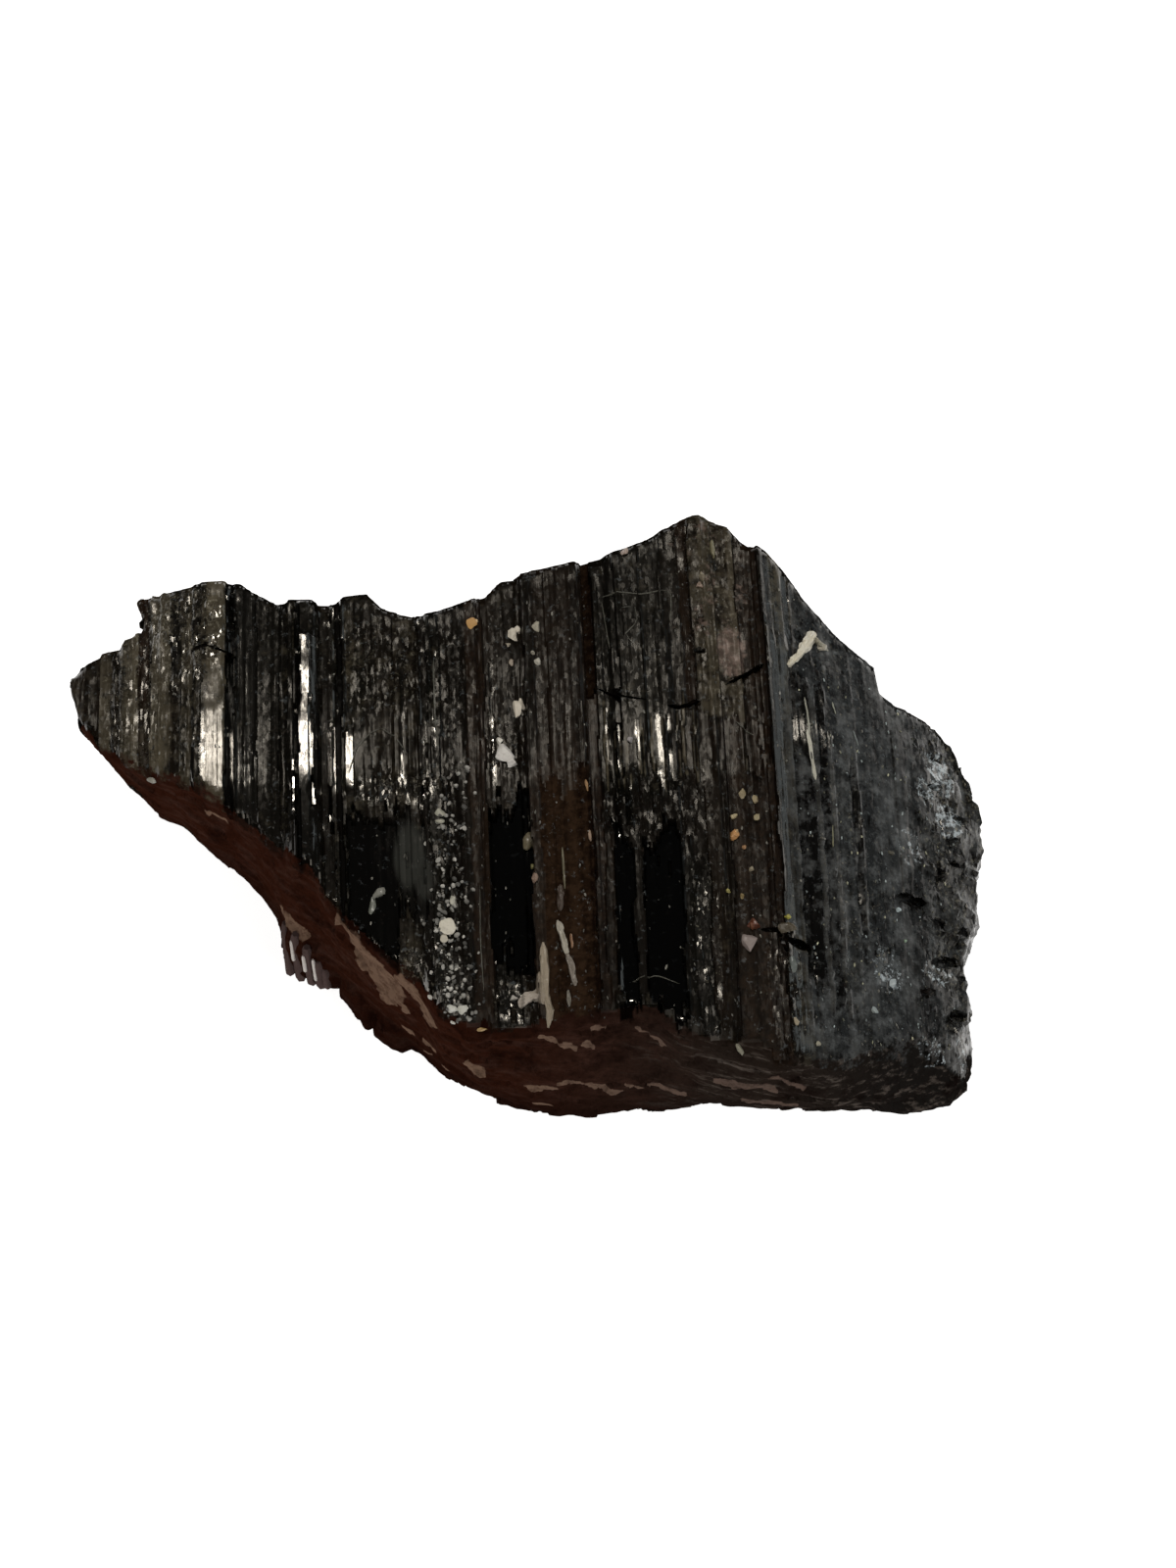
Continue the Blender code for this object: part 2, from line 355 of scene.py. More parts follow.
# The striated top, painted from left to right, and what comes later covers what came before.
# A row is: flute from and to, y from and to, rise in mm, tilt towards +X in degrees, and then
# how rough, how pale and how brown it is. Key light comes back from tilts near 4 at the left,
# 1 in the middle and -1 at the right.
topValues = {
    "wideStrips": (21, (0.45, 1.2), 0.06, 4, 16),  # seed, width from and to, level, lean, length
    "fineStrips": (22, (0.17, 0.42), 0.03, 7, 4.5),
    # how the flutes wave: seed, stretch along Y, size, amount, how far below y = 0 it starts
    "waves": [(24, 0.35, 0.6, 0.07, -99), (26, 1, 0.3, 0.05, 0), (28, 0.6, 1.1, 0.14, 2)],
    "ragged": 0.4,  # how unevenly a strip ends
    "raggedFine": 0.7,
    "wander": 1.1,
    "ridgeY": 2.1,  # where the top is bent before it is painted, and how fast it falls from there
    "farSlope": 0.0645,
    "nearSlope": 0.0875,
    "creaseY": -0.7,  # where it is bent afterwards, and how far that strays
    "creaseStray": 0.6,
    "creaseSoft": 0.4,
    "creaseEnds": [-29, 18],  # the flutes between which it is bent there
    "fadingBrown": [0.3, 4.9],  # the flutes whose brown fades with y
    "humpAt": [-0.8, 4.3, 10.0],  # the top swells a little between these y
    "hump": 0.20,
    "columns": [
        (-37, 37, -30, 30, 0.00, 0, 1.0, 0.45, 0.0),
        (-36, -32.3, -30, 30, 0.00, -12, 1.0, 0.42, 0.30),
        (-32.3, -31.3, -30, 30, 0.10, -6, 1.0, 0.73, 0.1),
        (-31.3, -30.6, -30, 30, -0.15, -12, 0.9, 0.56, 0.2),
        (-30.6, -29.2, -30, 30, 0.05, -4, 1.0, 0.77, 0.0),
        (-29.2, -28.2, -30, 9.0, -0.20, -9, 0.8, 0.50, 0.3),
        (-29.2, -28.4, 9.0, 30, -0.35, -12, 0.6, 0.15, 0.6),
        (-28.2, -26.6, -30, 30, 0.05, -4, 1.0, 0.78, 0.0),
        (-26.6, -25.8, -30, 8.0, -0.15, -9, 0.8, 0.60, 0.15),
        (-25.8, -24.9, -30, 30, 0.04, -3, 0.8, 0.78, 0.0),
        (-24.9, -24.7, -30, 6.0, 0.12, 4, 0.1, 0.20, 0.0),
        (-24.7, -24.2, -30, 30, 0.00, -5, 0.6, 0.60, 0.0),
        (-24.2, -22.3, -30, 30, 0.16, 4.0, 0.22, 0.75, 0.0),
        (-22.3, -21.75, -30, 30, -0.30, 22, 0.2, 0.05, 0.0),
        (-21.75, -21.5, -30, 30, 0.05, 9, 0.0, 0.30, 0.0),
        (-21.5, -19.95, -30, 30, -0.18, -8, 0.45, 0.30, 0.0),
        (-19.95, -19.2, -30, 30, -0.05, -3, 0.6, 0.40, 0.0),
        (-19.2, -18.2, -30, 30, -0.10, -9, 0.6, 0.40, 0.0),
        (-18.2, -17.6, -30, 30, -0.02, -4, 0.6, 0.35, 0.0),
        (-17.6, -17.2, -30, 30, -0.08, -10, 0.5, 0.25, 0.0),
        (-17.2, -16.98, -30, 10, 0.12, 4, 0.0, 0.10, 0.0),
        (-16.98, -16.6, -30, 30, -0.25, -16, 0.2, 0.05, 0.0),
        (-16.7, -15.95, -30, 11.8, 0.26, 3.0, 0.20, 0.15, 0.0),
        (-15.95, -15.3, -30, 5.0, 0.24, 2.4, 0.25, 0.20, 0.0),
        (-15.95, -15.3, 5.0, 11.8, 0.10, 8, 0.4, 0.15, 0.0),
        (-16.6, -15.2, 11.8, 30, 0.06, 7, 0.6, 0.30, 0.0),
        (-15.2, -14.3, -30, 30, -0.55, 14, 0.35, 0.28, 0.1),
        (-14.3, -13.95, -30, 30, -0.05, 8, 0.2, 0.40, 0.0),
        (-13.95, -13.55, -30, 30, -0.40, -12, 0.2, 0.02, 0.1),
        (-13.55, -13.3, 4, 30, 0.10, 2.3, 0.0, 0.30, 0.0),
        (-13.3, -11.8, -30, 30, 0.00, -6, 0.8, 0.52, 0.0),
        (-13.3, -12.7, -1, 4.9, 0.08, 2.7, 0.28, 0.30, 0.0),
        (-12.7, -11.4, -1, 4.4, 0.05, 3.7, 0.70, 0.50, 0.0),
        (-11.8, -9.6, -30, 30, 0.02, -5, 1.0, 0.44, 0.1),
        (-9.6, -7.7, -30, 30, 0.05, 5, 1.0, 0.42, 0.1),
        (-9.2, -8.9, 0, 9, 0.08, 1.8, 0.3, 0.30, 0.0),
        (-7.7, -7.1, -30, 30, -0.12, 12, 0.4, 0.12, 0.1),
        (-7.1, -6.1, -30, 30, 0.08, 4, 0.9, 0.30, 0.0),
        (-6.7, -6.45, 1, 11, 0.10, 1.5, 0.2, 0.40, 0.0),
        (-6.1, -4.1, -30, 30, -0.12, -6, 0.9, 0.12, 0.1),
        (-4.1, -2.8, -30, 30, 0.00, -7, 0.7, 0.15, 0.5),
        (-2.8, 0.3, -30, 30, -0.02, 5, 0.9, 0.30, 0.2),
        (-2.4, -2.1, -30, 9, 0.04, 1.2, 0.3, 0.30, 0.1),
        (0.3, 1.1, -30, 30, 0.08, -9, 0.8, 0.20, 0.6),
        (1.1, 2.0, -30, 30, -0.04, 8, 0.7, 0.20, 0.9),
        (2.0, 3.1, -30, 30, 0.03, -8, 0.8, 0.14, 1.0),
        (3.1, 4.9, -30, 30, 0.07, -9, 0.6, 0.14, 1.0),
        (4.9, 5.65, 6.2, 30, -0.60, -8, 0.3, 0.05, 0.9),
        (4.9, 5.65, -30, 6.2, -0.12, 9, 0.6, 0.12, 0.8),
        (5.65, 7.4, -30, 30, 0.03, -5, 0.9, 0.32, 0.0),
        (7.4, 9.2, -30, 30, 0.00, 4, 0.9, 0.35, 0.0),
        (9.2, 11.0, -30, 30, 0.05, -5, 0.9, 0.32, 0.0),
        (11.0, 12.3, -30, 30, -0.05, 5, 0.9, 0.30, 0.1),
        (6.2, 6.45, 0, 5.0, 0.04, 0.0, 0.45, 0.30, 0.0),
        (7.0, 7.25, -1, 4.6, 0.03, 0.2, 0.3, 0.35, 0.0),
        (7.6, 7.75, -1, 3.6, 0.03, 0.2, 0.45, 0.35, 0.0),
        (8.4, 8.6, -1, 4.0, 0.04, -0.4, 0.3, 0.30, 0.0),
        (9.3, 9.45, -1, 3.4, 0.05, -0.5, 0.45, 0.35, 0.0),
        (9.9, 10.3, -1, 5.0, 0.05, -0.5, 0.45, 0.40, 0.0),
        (10.75, 10.95, -1, 4.2, 0.05, -0.8, 0.45, 0.35, 0.0),
        (12.3, 13.1, 4.0, 30, -0.30, 12, 0.5, 0.15, 0.4),
        (13.1, 14.9, 4.0, 30, 0.05, -5, 1.0, 0.76, 0.1),
        (14.9, 16.6, 4.0, 30, 0.00, 4, 1.0, 0.74, 0.2),
        (12.3, 14.9, -30, 4.0, 0.00, -5, 0.8, 0.30, 0.2),
        (14.9, 16.4, -30, 4.0, 0.00, 5, 0.6, 0.30, 0.5),
        (16.6, 18.4, 0.0, 30, -0.30, -8, 0.6, 0.12, 0.5),
        (16.4, 18.5, -30, 0.0, -0.12, -7, 0.8, 0.14, 0.62),
        (18.5, 19.2, -30, 30, 0.02, 34, 0.3, 0.35, 0.1),
        (19.2, 20.1, -30, 30, 0.00, 28, 0.4, 0.65, 0.0),
        (20.1, 20.6, -30, 30, -0.08, 34, 0.3, 0.35, 0.0),
        (20.6, 27.6, -30, 30, 0.00, 0, 0.45, 0.50, 0.0),
        (20.1, 21.5, -16, 8.5, -0.06, 2, 0.3, 0.15, 0.0),
        (21.5, 22.0, -18, 6.5, 0.05, -2, 0.3, 0.75, 0.0),
        (22.0, 22.7, -18, 8, -0.05, 3, 0.4, 0.30, 0.0),
        (22.7, 23.1, -18, 4, 0.03, -2, 0.4, 0.65, 0.0),
        (24.4, 25.0, -12, 3, -0.04, 2, 0.6, 0.32, 0.0),
        # lower half
        (-13.3, -11.2, -15.0, -2.7, -0.35, -7, 0.2, 0.03, 0.0),
        (-11.2, -9.6, -15.5, -3.5, -0.50, 9, 0.2, 0.03, 0.0),
        (-9.6, -8.6, -9.5, -1.7, -0.30, -8, 0.3, 0.10, 0.0),
        (-8.6, -7.6, -10.0, -3.0, -0.22, 8, 0.3, 0.05, 0.0),
        (-2.8, 0.3, -13.6, -1.9, -0.60, -4, 0.05, 0.00, 0.0),
        (-2.6, -0.9, -19.5, -13.6, -0.35, 6, 0.7, 0.15, 0.0),
        (5.65, 6.3, -19.0, -1.5, -0.10, 6, 0.7, 0.12, 0.3),
        (6.3, 7.7, -19.0, -5.3, -0.60, 7, 0.05, 0.00, 0.0),
        (7.7, 8.4, -19.0, -3.5, -0.12, -8, 0.7, 0.20, 0.1),
        (8.4, 11.2, -19.5, -6.1, -0.60, -6, 0.05, 0.00, 0.0),
        (5.9, 14.4, -6.1, -1.3, -0.15, 3, 0.9, 0.12, 0.1),
        (11.2, 13.2, -20.5, -6.0, -0.10, 7, 0.8, 0.15, 0.0),
        (13.2, 14.8, -20.5, -1.1, 0.02, -5, 0.6, 0.30, 0.2),
    ],
    "arch": [-16.6, -15.2, 4.3, 11.8],  # one bright streak curves up: flute from, to, y from, to
    "archSlope": 0.045,
    "archBend": [7.4, 0.05],
    "unevenPale": 0.5,
    # The thin bright strips catch the key light by their tilt, and their pale colour adds a painted
    # highlight.
    "streaks": [5.9, 13.0, 20],  # thin bright strips beside the crease: from, to and how many
    # plates with a tilt along Y of their own: flute and y from and to, rise, both tilts, and
    # how rough and how pale
    "plates": [
        (-24.2, -22.35, -2.8, 7.0, 0.18, 4.3, 1.8, 0.30, 0.75),
        (-14.62, -14.42, -2.0, -0.4, 0.10, 3.0, 2.4, 0.0, 0.0),
        (-14.58, -14.45, -3.8, -2.2, 0.10, 2.6, 2.4, 0.0, 0.0),
        (-17.20, -16.98, -2.6, 0.0, 0.12, 3.2, 2.1, 0.0, 0.0),
        (-15.75, -15.45, -3.0, -0.6, 0.20, 3.1, 2.2, 0.1, 0.1),
    ],
}


def fluteBins(points, width):  # which strip of this width each point is in, from flute -40 to 40
    return numpy.clip(((points[:, 0] + 40) / width).astype(int), 0, round(80 / width) - 1)


def crestLine(points):  # the top's height across the flutes
    width = 0.2
    crest = numpy.zeros(round(80 / width))
    numpy.maximum.at(crest, fluteBins(points, width), points[:, 2])
    filled = numpy.nonzero(crest > 0)[0]
    return (filled + 0.5) * width - 40, crest[filled]


def rimDistances(points, normals, crest):  # how far each point is from the near rim and the far rim
    width, unset = 0.4, 99.0
    bins = fluteBins(points, width)
    level = (normals[:, 2] > 0.6) & (points[:, 2] > 0.9 * numpy.interp(points[:, 0], *crest))
    near, far = numpy.full(round(80 / width), unset), numpy.full(round(80 / width), -unset)
    numpy.minimum.at(near, bins[level], points[level, 1])
    numpy.maximum.at(far, bins[level], points[level, 1])
    filled = numpy.nonzero(near < unset)[0]
    middle = (filled + 0.5) * width - 40
    fromNear = points[:, 1] - numpy.interp(points[:, 0], middle, near[filled])
    fromFar = numpy.interp(points[:, 0], middle, far[filled]) - points[:, 1]
    return fromNear, fromFar


def creased(away, soft):  # the height of a bent top, this far from a bend this soft
    far, near = topValues["farSlope"], topValues["nearSlope"]
    return (near - far) / 2 * away - (near + far) / 2 * numpy.sqrt(away**2 + soft**2)


def levelCrease(points, surface):  # how far the top must move for the ridge to be gone
    around, soft, lowest, most = 0.9, 0.12, 8, 0.15
    y, middle = points[:, 1], topValues["ridgeY"]
    level = -creased(y - middle, soft)
    band = numpy.nonzero((numpy.abs(y - middle) < around) & (points[:, 2] > lowest))[0]
    ends = []
    for edge in (middle - around, middle + around):
        heights = numpy.array([surface(flute, edge)[0] for flute in points[band, 0]])
        ends.append(heights - creased(edge - middle, soft))
    share = (y[band] - middle + around) / (2 * around)
    straight = ends[0] + (ends[1] - ends[0]) * share - points[band, 2]
    level[band] = numpy.where(numpy.abs(straight - level[band]) < most, straight, level[band])
    return level


def streakRows():  # the thin bright strips, as rows for the table above
    rng = numpy.random.default_rng(29)
    first, last, count = topValues["streaks"]
    rows = []
    for low in numpy.sort(rng.uniform(first, last, count)):
        front, back = rng.uniform(-1.8, 0.6), rng.uniform(2.4, 5.2)
        tilt = 0.5 - 0.19 * (low - 6) + 1.5 * rng.normal()
        # rough 0.5 and pale 0.9: the strips' pale colour is a painted highlight
        rows.append((low, low + rng.uniform(0.07, 0.15), front, back, 0.04, tilt, 0.5, 0.9, 0.0))
    return rows


def paintTop(points, crest, surface):
    values = topValues
    flute, y = points[:, 0], points[:, 1]
    wavy = flute + 0.05 * numpy.sin(y * 0.4 + 1.3) + 0.03 * numpy.sin(y * 1.1 + flute)
    wide, wideIndex = strips(wavy, y, *values["wideStrips"])
    fine, fineIndex = strips(wavy, y, *values["fineStrips"])
    here = numpy.interp(wavy, *crest)
    ragged = values["ragged"] * (hashed(fineIndex, 5) * 2 - 1)
    ragged += 0.7 * values["ragged"] * (hashed(wideIndex, 6) * 2 - 1)
    ragged += values["wander"] * softNoise(points * (1, 0.6, 0), 1.3, 23)
    ragged += values["raggedFine"] * softNoise(points * (1, 0.5, 0), 0.4, 27)
    for seed, along, size, amount, start in values["waves"]:
        waves = amount * softNoise(points * (1, along, 0), size, seed)
        wavy = wavy + waves * ramp(-y, start, start + 3)

    rise, grain = numpy.zeros(len(flute)), numpy.ones(len(flute))
    pale, brown = numpy.zeros(len(flute)), numpy.zeros(len(flute))
    swell = values["hump"] * numpy.interp(y, values["humpAt"], (0, 1, 0))
    for row in values["columns"] + streakRows():
        low, high, front, back, up, tilt, rough, dusty, umber = row
        end = y + ragged * (2.0 if back < 2 else 1)
        inside = (wavy > low) & (wavy <= high) & (end > front) & (end <= back)
        own = up + swell
        if high - low < 4:  # a flat plate
            middle = (low + high) / 2
            own = own + numpy.interp(middle, *crest) - here
            own = own - (wavy - middle) * math.tan(math.radians(tilt))
        rise = numpy.where(inside, own, rise)
        grain = numpy.where(inside, rough, grain)
        pale = numpy.where(inside, dusty, pale)
        brown = numpy.where(inside, umber, brown)
    fading = ramp(2.0 * softNoise(points * (1, 0.25, 0), 0.35, 25) - y, -2.5, 3.0)
    low, high = values["fadingBrown"]
    brown = brown * numpy.where((wavy > low) & (wavy <= high), 0.3 + 0.7 * fading, 1)

    stray = values["creaseStray"] * (2 * hashed(wideIndex, 8) - 1)
    inside = (flute > values["creaseEnds"][0]) & (flute < values["creaseEnds"][1])
    bend = numpy.where(inside, values["creaseY"] + stray, values["ridgeY"])
    moved = creased(y - bend, values["creaseSoft"]) + levelCrease(points, surface)
    rise = rise + moved + grain * (wide + fine)
    for low, high, front, back, up, tilt, pitch, rough, dusty in values["plates"]:
        end = y + ragged * min(1, (back - front) / 6)
        inside = (wavy > low) & (wavy <= high) & (end > front) & (end <= back)
        middle, centre = (low + high) / 2, (front + back) / 2
        level = surface(middle, centre)[0] + up + rough * (wide + fine)
        level = level - (wavy - middle) * math.tan(math.radians(tilt))
        level = level - (y - centre) * math.tan(math.radians(pitch)) - 0.004 * (y - centre) ** 2
        rise = numpy.where(inside, level - points[:, 2], rise)
        grain = numpy.where(inside, rough, grain)
        pale = numpy.where(inside, dusty, pale)

    low, high, front, back = values["arch"]
    arched = (wavy > low) & (wavy <= high) & (y > front) & (y < back)
    bendY, bendSlope = values["archBend"]
    lift = values["archSlope"] * (y - front) + bendSlope * numpy.clip(y - bendY, 0, 5)
    rise = rise + numpy.where(arched, lift, 0)
    pale = pale * (1 + values["unevenPale"] * (hashed(wideIndex, 9) - 0.5))
    return rise, grain, pale, brown


# Places on the stone, as soft ellipses: (flute, y, reach across, reach along, amount)
placeValues = {
    "crumble": [
        (-29.5, 7.5, 2.6, 9.0, 0.6),
        (-25.5, 12.0, 3.2, 4.0, 0.8),
        (-25.5, 5.5, 1.2, 5.0, 0.3),
        (-5.6, -9.5, 1.2, 11.5, 0.5),
        (-9.5, -1.1, 3.4, 1.4, 0.8),
        (-10.5, 9.5, 4.5, 4.0, 0.5),
        (-5.5, 7.5, 2.5, 5.0, 0.4),
        (-8.5, -16.5, 4.5, 3.4, 0.8),
        (-1.4, 2.0, 1.8, 2.5, 0.5),
        (-1.6, -17.5, 1.6, 2.4, 0.8),
        (9.5, -3.1, 4.6, 3.0, 0.4),
        (12.8, -14.5, 1.2, 8.0, 0.6),
        (14.9, 10.5, 2.0, 7.5, 0.45),
        (14.3, 19.0, 3.0, 3.0, 0.38),
        (18.3, -16.5, 1.4, 6.0, 0.7),
        (22.5, 11.5, 2.0, 2.4, 0.5),
        (24.5, -4.0, 3.0, 18.0, 0.35),
    ],
    "flesh": [
        (15.9, 9.9, 1.2, 2.6, 0.9),
        (17.0, 15.0, 0.6, 1.4, 0.6),
        (14.6, 15.3, 0.7, 2.5, 0.6),
        (13.8, 12.3, 0.7, 2.2, 0.5),
        (13.9, 19.7, 2.4, 1.8, 0.35),
    ],
    "steel": [
        (24.5, -6.0, 5.6, 30.0, 1.0),
        (31.0, 0.0, 5.0, 24.0, 0.9),
    ],
    # glossy patches of the right break: they get the shiny finish and a painted highlight colour
    "sheen": [
        (31.9, 3.6, 1.2, 2.0, 1.0),
        (32.3, -0.3, 1.1, 1.5, 1.0),
        (30.6, 1.6, 1.0, 1.3, 0.6),
        (30.3, -12.9, 1.4, 0.9, 0.6),
        (26.3, -13.9, 1.3, 1.8, 0.45),
        (32.2, -18.2, 0.8, 1.8, 0.4),
        (28.6, -3.5, 1.2, 1.6, 0.4),
        (29.3, -19.0, 1.3, 1.0, 0.5),
    ],
    "lump": [
        (-26.0, 13.5, 4.5, 3.5, 1.0),
        (14.3, 19.5, 3.0, 2.5, 0.5),
    ],
    "lift": [
        (14.2, 20.8, 3.6, 2.8, 0.42),
        (-24.8, 13.8, 3.6, 2.2, 0.35),
    ],
    "corner": [
        (31.0, -22.6, 5.6, 3.2, 1.0),
        (33.6, -20.0, 1.6, 3.0, 0.9),
    ],
    "feather": [
        (-8.7, -6.3, 1.2, 2.6, 1.0),
        (-7.6, -8.4, 0.7, 1.5, 0.8),
    ],
    "rimCrust": [
        (1.2, -20.2, 1.6, 0.9, 1.0),
        (4.0, -19.8, 1.5, 0.8, 1.0),
        (7.0, -19.4, 2.6, 1.3, 1.0),
        (9.2, -20.2, 1.4, 0.8, 0.9),
    ],
    "lobes": [  # on the near break: (flute, z, reach across, reach up, amount)
        (-17.1, 5.5, 2.0, 5.0, 0.75),
        (-13.6, 4.5, 1.3, 4.0, 0.7),
        (-11.0, 4.0, 1.3, 3.5, 0.7),
    ],
}


def placeMask(points, spots):
    mask = numpy.zeros(len(points))
    for flute, y, across, along, amount in spots:
        far = ((points[:, 0] - flute) / across) ** 2 + ((points[:, 1] - y) / along) ** 2
        mask = numpy.maximum(mask, amount * (1 - ramp(far, 0.5, 1.3)))
    return mask


def writeMask(skin, name, values):
    layer = skin.data.attributes.new(name, "FLOAT", "POINT")
    layer.data.foreach_set("value", values.astype(numpy.float32))


# Tan flakes of the crust on the near break: from one (flute, y, z) to another, with a radius
flakeValues = [
    ((-13.0, -11.9, 17.0), (-11.8, -13.2, 15.6), 0.85),
    ((-11.8, -13.2, 15.6), (-10.6, -14.4, 14.2), 1.10),
    ((-12.4, -12.8, 15.0), (-11.0, -14.2, 13.0), 0.95),
    ((-14.2, -10.9, 18.2), (-13.3, -11.7, 17.8), 0.40),
    ((-9.5, -15.3, 17.2), (-7.9, -17.0, 15.3), 0.75),
    ((-10.2, -14.9, 13.3), (-9.6, -15.5, 12.3), 0.40),
    ((-9.8, -15.4, 8.4), (-7.9, -17.2, 8.6), 0.26),
    ((-5.0, -19.9, 12.5), (-4.3, -20.2, 12.0), 0.50),
    ((-7.1, -18.0, 6.9), (-6.8, -18.1, 6.7), 0.27),
    ((-8.1, -16.7, 6.8), (-7.9, -16.9, 6.6), 0.22),
    ((-23.9, -0.9, 16.0), (-22.7, -1.9, 16.8), 0.25),
    ((-18.9, -7.2, 10.8), (-17.4, -8.2, 10.6), 0.50),
    ((0.5, -20.1, 18.5), (2.9, -20.0, 16.4), 0.33),
    ((3.6, -19.9, 16.8), (4.1, -19.8, 16.4), 0.33),
    ((4.3, -19.6, 18.9), (6.6, -19.8, 19.2), 0.31),
    ((6.6, -19.8, 19.2), (9.3, -20.0, 17.2), 0.31),
    ((1.8, -21.0, 11.6), (3.8, -21.0, 10.6), 0.23),
    ((3.8, -21.0, 10.6), (6.0, -20.8, 9.4), 0.28),
    ((6.7, -20.7, 10.7), (7.6, -20.7, 10.1), 0.20),
    ((8.4, -20.8, 10.4), (10.9, -21.2, 9.8), 0.27),
    ((-0.6, -20.8, 9.9), (1.1, -21.0, 10.0), 0.37),
    ((-0.3, -20.8, 6.2), (0.8, -20.9, 6.2), 0.25),
    ((15.4, -21.8, 10.6), (18.9, -22.0, 9.4), 0.41),
    ((17.3, -22.6, 16.4), (19.5, -22.6, 14.8), 0.28),
    ((13.1, -21.8, 14.5), (17.4, -22.6, 14.3), 0.28),
]


def flakeMask(points):
    mask = numpy.zeros(len(points))
    bent = points + 0.35 * numpy.stack([softNoise(points, 0.8, 70 + k) for k in range(3)], axis=1)
    bent += 0.15 * numpy.stack([softNoise(points, 0.3, 75 + k) for k in range(3)], axis=1)
    for start, end, radius in flakeValues:
        start, end = numpy.array(start), numpy.array(end)
        line = end - start
        t = numpy.clip(((bent - start) @ line) / (line @ line), 0, 1)
        gap = (bent - start - t[:, None] * line) * (1, 0.5, 0.5)
        far = numpy.linalg.norm(gap, axis=1) / radius
        mask = numpy.maximum(mask, 1 - ramp(far, 0.6, 1.4))
    return mask


# How the broken surfaces stand out, in mm: size of the facets, step between them and lean
reliefValues = {
    "chips": ((0.5, 0.9, 1), 0.16, 0.13),  # where the top crumbles
    "lumps": ((1.5, 2.0, 1), 0.30, 0.12),
    "blocks": ((3.0, 1.0, 1.7), 0.22, 0.16),  # on the right break
    "smooth": ((2.8, 2.8, 2.2), 0.20, 0.10),  # on the near break
    "rough": ((3.0, 3.0, 2.4), 0.50, 0.16),  # on the far break
    "small": ((1.1, 1.1, 0.9), 0.20, 0.12),
    "ledges": ((0.5, 1.6), 0.13, 10, 4),  # width, level, lean and length on the right break
    "flake": 0.08,
    "grit": 0.015,
}

# Where each soft edge between two kinds of surface starts, and where it is complete
edgeValues = {
    "right": (28.0, 32.0),  # flutes
    "high": (0.45, 0.8),  # share of the height from foot to crest
    "upper": (0.60, 0.86),
    "crestEnds": (0.8, 0.95),
    "facing": (0.12, 0.5),  # share of the normal
    "facingNear": (0.1, 0.4),
    "facingRight": (0.2, 0.45),
    "facingFar": (0.15, 0.35),
    "facingLeft": (0.3, 0.55),
    "under": (0.3, 0.8),
    "downward": (0.05, 0.35),
    "wall": (0.35, 0.75),
    "side": (0.8, 0.95),
    "nearWall": (0.16, 0.36),
    "nearRim": (-0.1, 0.9),  # mm from the rim
    "nearCrust": (0.5, 1.1),
    "lip": (-0.5, 0.0),
    "farRim": (0.1, 1.5),
    "farEdge": (0.15, 0.5),
}


def soften(values, name):
    return ramp(values, *edgeValues[name])


def brokenFacets(points, name, seed):
    size, step, lean = reliefValues[name]
    return facets(points, size, seed, step, lean)


def crumbleRelief(flat):
    chips = brokenFacets(flat, "chips", 31) + 0.03 * softNoise(flat, 0.3, 33)
    lumps = brokenFacets(flat, "lumps", 32) + 0.06 * softNoise(flat, 0.6, 34)
    return chips - 0.05, lumps - 0.08


def breakRelief(points):  # blocks, and ledges that run across the right break
    across = points[:, 1] + 0.30 * points[:, 0] + 0.5 * softNoise(points, 2.2, 40)
    ledges, _ = strips(across, points[:, 0], 43, *reliefValues["ledges"])
    blocks = brokenFacets(points, "blocks", 41)
    blocks += ledges + 0.05 * softNoise(points, 0.9, 44) + 0.03 * softNoise(points, 0.4, 45)
    return blocks


def wallRelief(points, far):  # the far break is rougher than the near one
    smooth = brokenFacets(points, "smooth", 51)
    smooth += 0.16 * softNoise(points, 1.7, 52) + 0.09 * softNoise(points, 0.8, 53)
    layers = 0.10 * softNoise(points * (0.25, 0.25, 1), 0.9, 58) * ramp(points[:, 0], 4, 12)
    lobes = placeMask(points[:, (0, 2)], placeValues["lobes"])
    rough = brokenFacets(points, "rough", 55) + brokenFacets(points, "small", 56)
    rough += 0.06 * softNoise(points, 0.5, 57)
    return numpy.where(far, rough, smooth + layers + lobes) - 0.20


